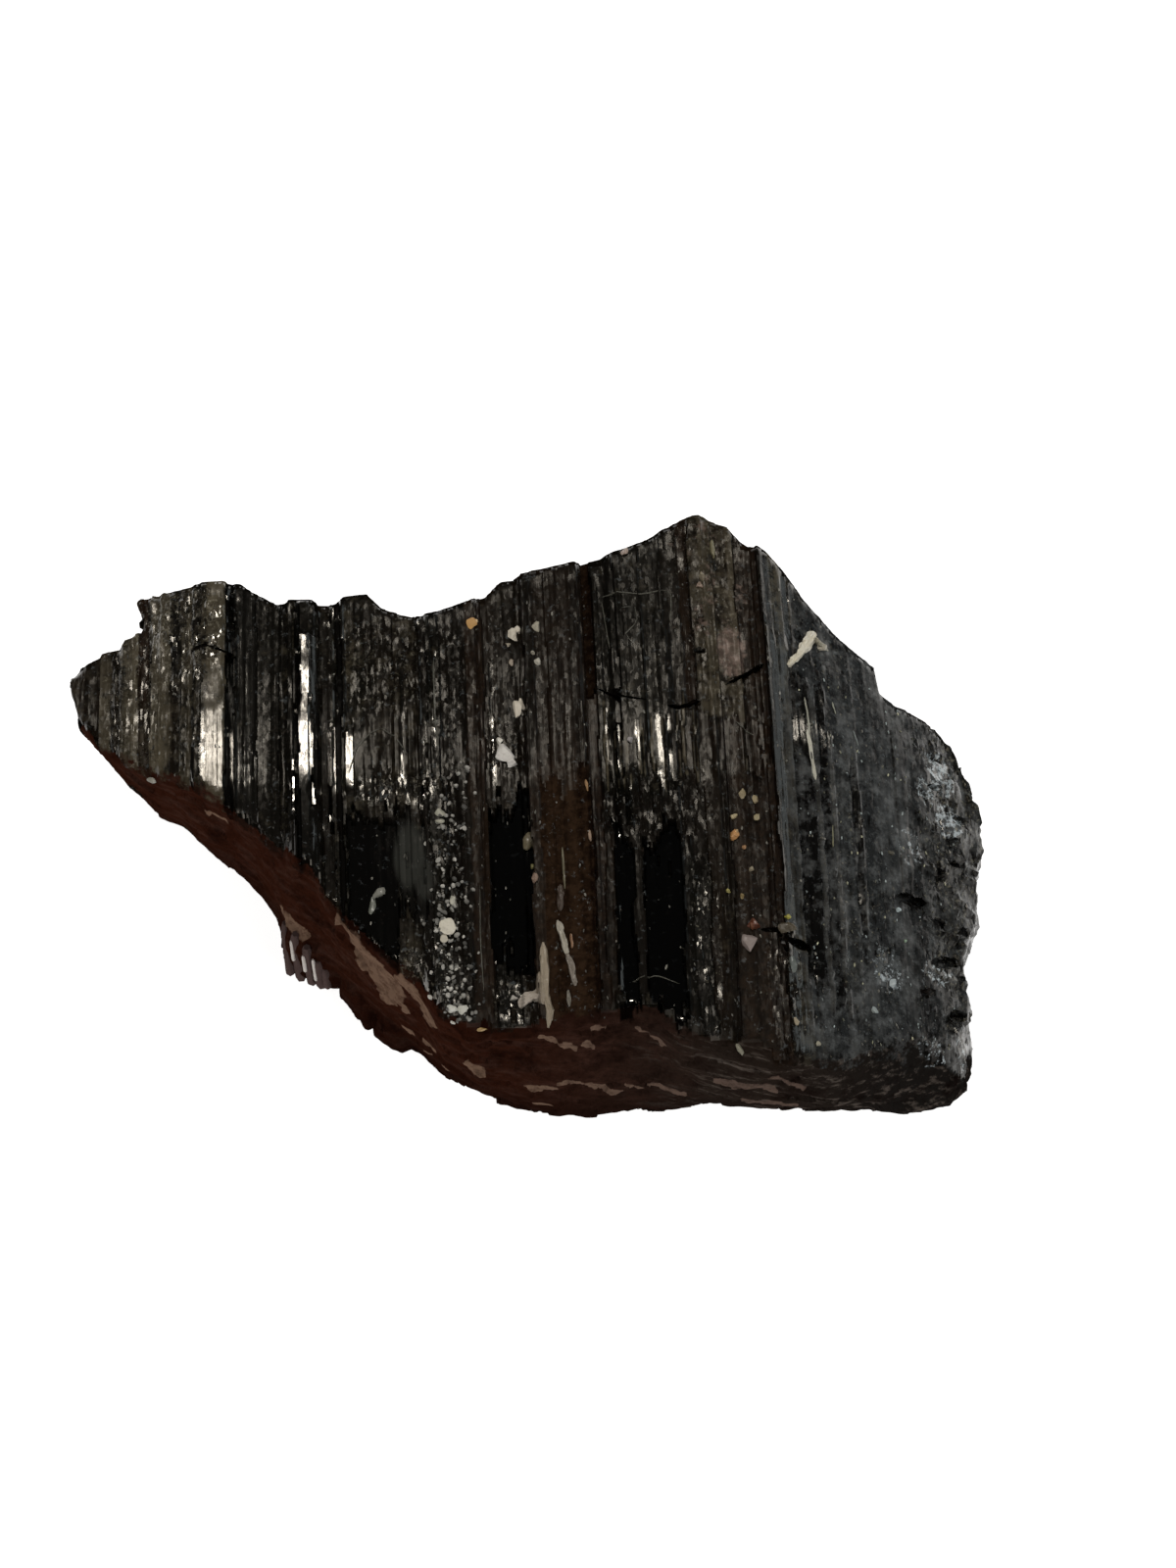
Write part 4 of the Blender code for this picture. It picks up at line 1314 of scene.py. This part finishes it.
grainValues = {
    "white": [
        # flute, y, across, along, tall, turn in degrees, tint
        (-0.45, 12.00, 1.15, 1.15, 0.40, 0, (0.86, 0.80, 0.68)),
        (-0.25, 12.45, 0.70, 0.75, 0.34, 30, (0.86, 0.80, 0.68)),
        (1.42, 12.20, 0.62, 0.95, 0.30, -10, (0.52, 0.49, 0.39)),
        (-0.85, 11.05, 0.35, 0.40, 0.20, 0, (0.40, 0.36, 0.28)),
        (-0.60, 9.50, 0.38, 0.55, 0.20, 0, (0.40, 0.34, 0.27)),
        (1.30, 9.00, 0.62, 0.55, 0.26, 20, (0.60, 0.58, 0.50)),
        (1.05, 9.70, 0.36, 0.32, 0.20, 0, (0.45, 0.42, 0.34)),
        (-0.30, 5.20, 0.85, 1.50, 0.38, 0, (0.80, 0.74, 0.62)),
        (-0.05, 5.90, 0.50, 1.00, 0.30, 12, (0.80, 0.74, 0.62)),
        (-1.45, 1.75, 1.40, 1.70, 0.40, 20, (0.82, 0.80, 0.76)),
        (-1.75, 2.60, 0.55, 0.50, 0.25, 0, (0.75, 0.73, 0.66)),
        (-1.00, 1.00, 0.90, 1.20, 0.30, 50, (0.78, 0.76, 0.72)),
        (-6.20, -12.15, 1.10, 1.15, 0.42, 10, (0.80, 0.76, 0.64)),
        (-6.35, -12.95, 0.55, 0.70, 0.30, 0, (0.62, 0.58, 0.48)),
        (-5.70, -10.15, 0.62, 0.80, 0.30, 0, (0.60, 0.59, 0.50)),
        (-5.97, -18.30, 0.72, 0.62, 0.30, 0, (0.66, 0.66, 0.60)),
        (-5.12, -18.30, 0.66, 0.72, 0.30, 0, (0.66, 0.66, 0.60)),
        (-6.28, -3.46, 0.75, 0.62, 0.26, 30, (0.50, 0.49, 0.40)),
        (-6.35, -4.05, 0.60, 0.42, 0.22, -20, (0.45, 0.44, 0.36)),
        (-1.45, -17.20, 0.60, 0.50, 0.24, 0, (0.46, 0.44, 0.40)),
        (-11.05, -9.05, 0.75, 1.00, 0.26, -35, (0.22, 0.22, 0.19)),
        (-11.55, -10.10, 0.62, 1.30, 0.24, -8, (0.19, 0.20, 0.17)),
        (-0.06, -5.21, 0.85, 1.25, 0.32, -12, (0.17, 0.145, 0.09)),
        (0.46, -8.77, 0.50, 0.75, 0.24, 0, (0.30, 0.21, 0.16)),
        (8.34, 18.76, 0.60, 0.60, 0.26, 0, (0.42, 0.33, 0.28)),
        (7.90, 2.00, 0.50, 0.42, 0.20, 0, (0.40, 0.38, 0.38)),
        (15.73, -13.64, 1.15, 1.35, 0.38, 15, (0.30, 0.25, 0.23)),
        (18.60, -12.60, 1.20, 1.10, 0.30, -20, (0.085, 0.07, 0.045)),
        (23.00, 11.30, 0.75, 0.60, 0.30, 0, (0.40, 0.37, 0.30)),
        (-28.0, 1.35, 0.80, 0.50, 0.22, -25, (0.30, 0.30, 0.26)),
    ],
    "coloured": [
        (-3.46, 12.74, 0.85, 0.80, 0.34, 0, (0.62, 0.36, 0.13)),
        (-3.20, 12.90, 0.40, 0.40, 0.34, 0, (0.85, 0.62, 0.35)),
        (15.21, -5.37, 0.75, 0.80, 0.32, 0, (0.60, 0.32, 0.13)),
        (15.35, -5.15, 0.35, 0.35, 0.34, 0, (0.85, 0.60, 0.32)),
        (15.30, -3.90, 0.50, 0.50, 0.24, 0, (0.50, 0.42, 0.25)),
        (16.95, -3.90, 0.40, 0.55, 0.22, 0, (0.42, 0.36, 0.22)),
        (16.00, -2.10, 0.45, 0.90, 0.20, 8, (0.34, 0.28, 0.17)),
        (16.95, -2.50, 0.40, 0.75, 0.20, 8, (0.40, 0.33, 0.20)),
        (15.90, -6.30, 0.25, 0.35, 0.18, 0, (0.45, 0.26, 0.13)),
        (16.24, -12.17, 0.80, 0.85, 0.34, 0, (0.13, 0.045, 0.025)),
        (16.05, -12.30, 0.35, 0.50, 0.34, 0, (0.22, 0.09, 0.05)),
        (14.44, -9.83, 0.35, 0.50, 0.22, 0, (0.42, 0.38, 0.14)),
        (15.51, -10.06, 0.30, 0.40, 0.20, 0, (0.30, 0.22, 0.10)),
        (16.30, -8.00, 0.32, 0.42, 0.18, 0, (0.30, 0.26, 0.18)),
        (18.73, -11.75, 0.45, 0.40, 0.22, 0, (0.45, 0.42, 0.08)),
        (-3.77, -19.75, 0.75, 0.35, 0.24, 10, (0.40, 0.27, 0.11)),
        (0.30, -7.20, 0.20, 0.50, 0.15, 0, (0.30, 0.28, 0.12)),
        (4.60, -5.60, 0.24, 0.80, 0.16, 0, (0.34, 0.24, 0.17)),
        (4.55, -1.70, 0.22, 0.80, 0.16, 6, (0.42, 0.25, 0.12)),
        (18.87, -15.31, 0.55, 1.10, 0.24, 0, (0.12, 0.14, 0.13)),
        (18.80, -19.60, 0.42, 0.62, 0.24, 15, (0.34, 0.29, 0.20)),
        (14.69, -21.40, 0.50, 1.10, 0.24, 25, (0.26, 0.25, 0.19)),
        (14.17, 16.38, 0.42, 0.85, 0.22, 0, (0.28, 0.24, 0.17)),
        (13.90, 15.60, 0.60, 0.50, 0.20, 0, (0.30, 0.22, 0.17)),
        (15.10, 19.03, 0.40, 1.40, 0.24, 0, (0.22, 0.20, 0.12)),
        (27.36, -8.94, 0.45, 0.35, 0.24, 0, (0.50, 0.60, 0.62)),
        (26.53, -14.75, 0.42, 0.85, 0.22, -25, (0.40, 0.46, 0.48)),
        (24.91, -17.25, 0.50, 0.55, 0.22, 0, (0.32, 0.37, 0.37)),
        (20.42, -20.84, 0.40, 0.40, 0.20, 0, (0.36, 0.34, 0.26)),
        (27.80, -11.20, 0.25, 0.25, 0.16, 0, (0.30, 0.42, 0.30)),
        (27.00, 2.20, 0.35, 0.30, 0.12, 0, (0.10, 0.10, 0.08)),
        (27.10, -4.50, 0.60, 0.42, 0.14, -20, (0.08, 0.075, 0.055)),
    ],
    "stands": 0.25,  # share of its height by which a grain's middle stands above the skin
}


def makeGrains():
    for name, seed in (("white", 100), ("coloured", 200)):
        grains = [addGrain(*row, seed=seed + k) for k, row in enumerate(grainValues[name])]
        finishPieces(grains, name + "_grains", mineral)


makeGrains()

splinterValues = {
    "splinters": [  # path of (flute, y), width, height, tint
        (
            [(0.85, -13.6), (0.90, -15.6), (0.80, -17.6), (1.20, -18.9), (0.95, -19.7)],
            0.75, 0.30, (0.33, 0.275, 0.20),
        ),
        ([(0.50, -15.8), (0.45, -17.2), (0.75, -18.2)], 0.70, 0.28, (0.30, 0.25, 0.19)),
        ([(0.90, -17.2), (-0.20, -17.0), (-1.05, -17.9)], 0.95, 0.30, (0.48, 0.43, 0.37)),
        ([(1.95, -11.9), (2.30, -13.3), (2.55, -14.6)], 0.58, 0.28, (0.46, 0.43, 0.36)),
        ([(2.50, -14.4), (2.85, -15.6), (3.05, -16.9)], 0.58, 0.26, (0.24, 0.21, 0.175)),
        ([(2.50, -17.2), (2.55, -18.4)], 0.30, 0.20, (0.26, 0.24, 0.20)),
        ([(2.90, -13.0), (2.95, -14.1)], 0.26, 0.20, (0.34, 0.20, 0.12)),
        ([(2.30, -9.2), (2.20, -11.2)], 0.60, 0.14, (0.075, 0.055, 0.042)),
        ([(2.55, -6.4), (2.60, -9.6)], 0.20, 0.14, (0.20, 0.18, 0.12)),
        ([(20.1, 8.7), (21.2, 10.1), (22.4, 12.2)], 0.60, 0.34, (0.80, 0.75, 0.60)),
        ([(21.3, 10.3), (21.8, 11.3), (22.5, 12.6)], 0.85, 0.36, (0.80, 0.76, 0.64)),
        ([(22.3, 12.2), (22.8, 11.6), (23.5, 11.3)], 0.55, 0.26, (0.34, 0.32, 0.25)),
        # The next two are low, flat pale strips on the facet: painted highlight streaks.
        ([(21.2, 6.2), (21.35, 4.2), (21.3, 2.4)], 0.20, 0.04, (0.34, 0.34, 0.28)),
        ([(21.2, 3.4), (21.4, 1.4), (21.6, -0.4)], 0.42, 0.05, (0.60, 0.59, 0.50)),
        ([(23.4, 6.6), (23.6, 5.6)], 0.18, 0.05, (0.30, 0.31, 0.24)),
        ([(24.9, 4.6), (25.2, 3.4)], 0.16, 0.05, (0.20, 0.23, 0.22)),
        ([(22.7, -3.6), (22.6, -5.4)], 0.13, 0.06, (0.30, 0.29, 0.18)),
    ],
    "lines": [  # thin raised lines: path of (flute, y) and width
        ([(6.4, 15.0), (7.6, 15.1), (9.5, 14.9), (11.4, 15.3), (11.8, 14.6)], 0.12),
        ([(6.4, 14.6), (6.6, 12.6), (6.8, 10.2)], 0.11),
        ([(7.3, 13.6), (8.9, 13.8), (9.0, 12.4), (8.0, 11.2), (8.6, 10.4)], 0.11),
        ([(11.7, 15.0), (11.5, 12.4)], 0.12),
        ([(-13.1, 0.2), (-12.4, 2.4), (-11.4, 3.6), (-10.6, 4.0)], 0.14),
        ([(-10.6, 4.0), (-9.6, 3.2), (-8.6, 1.6)], 0.10),
        ([(15.9, 3.8), (16.6, 3.1), (17.2, 2.7)], 0.12),
        ([(-6.5, 9.6), (-6.5, 4.6), (-6.3, 1.6)], 0.14),
        ([(-3.6, -9.0), (-3.7, -13.5), (-3.6, -17.0)], 0.10),
        ([(7.0, -16.4), (9.0, -15.9), (10.6, -16.6)], 0.09),
    ],
    "lineTint": (0.10, 0.098, 0.08),
    "narrow": 0.35,  # how much narrower the back of a splinter is than its foot
    "ends": 0.25,
}


def addSplinter(cuts, path, width, low, high, rough, seed, tint):
    block = addBlock(cuts)
    narrow, ends = splinterValues["narrow"], splinterValues["ends"]
    followPath(block, path, width, low, high, surfaceAt, narrow, ends, rough, seed)
    tintPiece(block, tint)
    return block


def makeSplinters():
    values = splinterValues
    splinters = []
    for k, (path, width, tall, tint) in enumerate(values["splinters"]):
        splinters.append(addSplinter(11, path, width, -0.2, tall, 0.55, 300 + k, tint))
    for k, (path, width) in enumerate(values["lines"]):
        splinters.append(addSplinter(9, path, width, -0.15, 0.05, 0.9, 320 + k, values["lineTint"]))
    finishPieces(splinters, "splinters", mineral)


makeSplinters()

smallGrainValues = {
    "river": [(-4.6, 1.0), (-6.0, -5.5), (-6.0, -10.9), (-5.7, -16.2), (-4.9, -19.3)],
    "riverGrains": 270,
    "riverReach": 0.75,  # how far they stray from the line
    # how many, flute from and to, y from and to, the lowest they may lie, and how level
    "specks": (700, -32, 27, -21, 18, 14, 0.6),
    "greenSpecks": (170, 20, 33, -20, 9, 10, 0.5),
    "riverColour": (1.0, 0.98, 0.9),
    "speckColour": (1.0, 0.97, 0.84),
    "greenColours": ((1.0, 1.0, 0.7), (0.85, 1.0, 1.0)),
}


def dimmed(glow, colour):
    return tuple(glow * part for part in colour)


def strewRiver(rng):  # along a winding line, and thicker towards the near rim
    values = smallGrainValues
    path = numpy.array(values["river"])
    grains = []
    for k in range(values["riverGrains"]):
        y = rng.uniform(path[-1, 1], path[0, 1])
        if rng.uniform() > 0.45 + 0.55 * ramp(-y, 4, 12):
            continue
        flute = numpy.interp(-y, -path[:, 1], path[:, 0]) + rng.normal() * values["riverReach"]
        size = rng.uniform(0.14, 0.30) + 0.22 * rng.uniform() ** 4
        tint = dimmed(0.10 + 0.65 * rng.uniform() ** 1.5, values["riverColour"])
        shape = (size, size * rng.uniform(0.8, 1.6), size * 0.6, rng.uniform(0, 180))
        grains.append(addGrain(flute, y, *shape, tint, 400 + k, 2))
    return grains


def speckPlaces(rng, name):
    count, left, right, front, back, lowest, level = smallGrainValues[name]
    for k in range(count):
        flute, y = rng.uniform(left, right), rng.uniform(front, back)
        height, normal = surfaceAt(flute, y)
        if height >= lowest and normal.z >= level:
            yield k, flute, y


def strewSpecks(rng):  # over the whole top
    grains = []
    for k, flute, y in speckPlaces(rng, "specks"):
        size = rng.uniform(0.10, 0.20)
        tint = dimmed(0.04 + 0.28 * rng.uniform() ** 2.5, smallGrainValues["speckColour"])
        shape = (size, size * rng.uniform(1.0, 2.6), size * 0.5, rng.uniform(-20, 20))
        grains.append(addGrain(flute, y, *shape, tint, 900 + k, 1))
    return grains


def strewGreenSpecks(rng):  # over the sloping facet and the right break
    grains = []
    for k, flute, y in speckPlaces(rng, "greenSpecks"):
        colour = smallGrainValues["greenColours"][k % 2]
        tint = dimmed(0.08 + 0.55 * rng.uniform() ** 2, colour)
        shape = (rng.uniform(0.10, 0.18), rng.uniform(0.15, 0.40), 0.08, rng.uniform(-20, 20))
        grains.append(addGrain(flute, y, *shape, tint, 2000 + k, 1))
    return grains


def makeSmallGrains():
    rng = numpy.random.default_rng(7)
    grains = strewRiver(rng) + strewSpecks(rng) + strewGreenSpecks(rng)
    finishPieces(grains, "small_grains", mineral)


makeSmallGrains()
for ball in grainStarts.values():
    bpy.data.objects.remove(ball)


# A bundle of small columns low on the near break, with no shine of their own: the thin pale ones
# are painted glints
columnValues = {
    "columns": [  # flute, radius, z from and to, how far its middle stands out
        (-18.70, 0.40, 4.2, 9.6, -0.12),
        (-18.25, 0.16, 7.0, 9.4, 0.20),
        (-17.90, 0.46, 3.6, 10.2, -0.12),
        (-17.40, 0.16, 6.4, 8.8, 0.24),
        (-17.05, 0.48, 3.4, 9.8, -0.10),
        (-16.65, 0.15, 5.4, 9.0, 0.24),
        (-16.30, 0.46, 3.8, 8.6, -0.14),
        (-15.80, 0.36, 4.6, 7.6, -0.12),
    ],
    "turn": 17,  # degrees from one column to the next
    "bevel": 0.14,
    "dark": (0.080, 0.055, 0.052),  # tint of the thick ones
    # the thin ones are pale as painted glints
    "pale": (0.62, 0.58, 0.55),  # and of the thin ones
}


def addColumn():  # six-sided with worn edges, from -1 to 1
    deselectAll()
    bpy.ops.mesh.primitive_cylinder_add(vertices=6, radius=1, depth=2)
    column = bpy.context.active_object
    bpy.ops.object.mode_set(mode="EDIT")
    bpy.ops.mesh.select_all(action="DESELECT")
    bpy.ops.object.mode_set(mode="OBJECT")
    bpy.context.tool_settings.mesh_select_mode = (False, True, False)
    for side in column.data.edges:
        first, second = (column.data.vertices[k].co for k in side.vertices)
        side.select = abs(first.z - second.z) > 1
    bpy.ops.object.mode_set(mode="EDIT")
    bpy.ops.mesh.subdivide(number_cuts=7)
    bpy.ops.object.mode_set(mode="OBJECT")
    bevel = column.modifiers.new("worn edges", "BEVEL")
    bevel.width = columnValues["bevel"]
    bevel.segments = 2
    bevel.limit_method = "ANGLE"
    bevel.angle_limit = math.radians(40)
    applyModifiers(column)
    return column


def makeColumns():
    values = columnValues
    start = addColumn()
    columns = []
    for k, (flute, radius, low, top, out) in enumerate(values["columns"]):
        column = copyPiece(start)
        points, _ = readPoints(column)
        z = low + (points[:, 2] + 1) / 2 * (top - low)
        reach = radius * (1 - 0.35 * ramp(points[:, 2], 0.7, 1.0))
        wall = [wallAt(flute, float(level))[0] for level in z]
        wall = numpy.polyval(numpy.polyfit(z, wall, 1), z)
        columnX, columnY = turnFlat(points, values["turn"] * k)
        place = (flute + columnX * reach, wall - out + columnY * reach, z)
        writePoints(column, numpy.stack(place, axis=1))
        tintPiece(column, values["dark"] if radius > 0.2 else values["pale"])
        columns.append(column)
    bpy.data.objects.remove(start)
    finishPieces(columns, "column_bundle", columnStone)


makeColumns()
print("grains and columns done")


# floor, lights and camera

floorValues = {
    "size": 4,
    "colour": (0.9, 0.9, 0.9, 1),
    "roughness": 0.9,
    "specular": 0.1,
    "glow": 0.85,
}


def makeFloor():
    values = floorValues
    deselectAll()
    bpy.ops.mesh.primitive_plane_add(size=values["size"], location=(0, 0, 0))
    floor = bpy.context.active_object
    floor.name = "floor"
    material = bpy.data.materials.new("pale_floor")
    material.use_nodes = True
    shader = material.node_tree.nodes["Principled BSDF"]
    shader.inputs["Base Color"].default_value = values["colour"]
    shader.inputs["Roughness"].default_value = values["roughness"]
    shader.inputs["Specular IOR Level"].default_value = values["specular"]
    shader.inputs["Emission Color"].default_value = (1, 1, 1, 1)
    shader.inputs["Emission Strength"].default_value = values["glow"]
    floor.data.materials.append(material)


lampValues = {
    # name: (azimuth from -Y towards +X, elevation, distance m, width m, height m, watts, colour)
    "key": (179, 61, 1.0, 0.30, 0.03, 3.4, (1.0, 0.95, 0.88)),
    "card": (180, 57, 1.0, 1.1, 0.22, 0.05, (1.0, 0.98, 0.95)),
    "left": (-50, 50, 0.9, 0.5, 0.5, 1.7, (1.0, 0.95, 0.89)),
    "right": (50, 50, 0.9, 0.5, 0.5, 1.7, (1.0, 0.97, 0.93)),
    "side": (116, 18, 0.9, 0.5, 0.35, 0.45, (0.80, 0.92, 1.0)),
}


def makeLamp(name, azimuth, elevation, distance, width, height, watts, colour):
    data = bpy.data.lights.new(name, "AREA")
    data.shape = "RECTANGLE"
    data.size, data.size_y = width, height
    data.energy = watts
    data.color = colour
    lamp = bpy.data.objects.new(name, data)
    turn, lift = math.radians(azimuth), math.radians(elevation)
    away = (math.sin(turn) * math.cos(lift), -math.cos(turn) * math.cos(lift), math.sin(lift))
    away = Vector(away)
    lamp.location = away * distance + Vector((0, 0, 0.02))
    lamp.rotation_euler = away.to_track_quat("Z", "Y").to_euler()
    scene.collection.objects.link(lamp)


makeFloor()
for name, settings in lampValues.items():
    makeLamp(name, *settings)

viewValues = {
    "roomColour": (0.9, 0.95, 1.0, 1),
    "roomStrength": 0.02,
    "lens": 85,
    "sensorWidth": 36,
    "nearest": 0.01,
    "place": (0.00472, -0.11682, 0.26978),
    "tilt": 25,  # degrees up from looking straight down
}

world = bpy.data.worlds.new("room")
world.use_nodes = True
room = world.node_tree.nodes["Background"].inputs
room["Color"].default_value = viewValues["roomColour"]
room["Strength"].default_value = viewValues["roomStrength"]
scene.world = world

cameraData = bpy.data.cameras.new("camera")
cameraData.lens = viewValues["lens"]
cameraData.sensor_width = viewValues["sensorWidth"]
cameraData.clip_start = viewValues["nearest"]
camera = bpy.data.objects.new("camera", cameraData)
camera.location = viewValues["place"]
camera.rotation_euler = (math.radians(viewValues["tilt"]), 0, 0)
scene.collection.objects.link(camera)
scene.camera = camera
scene.view_settings.view_transform = "Standard"

print("stage done")
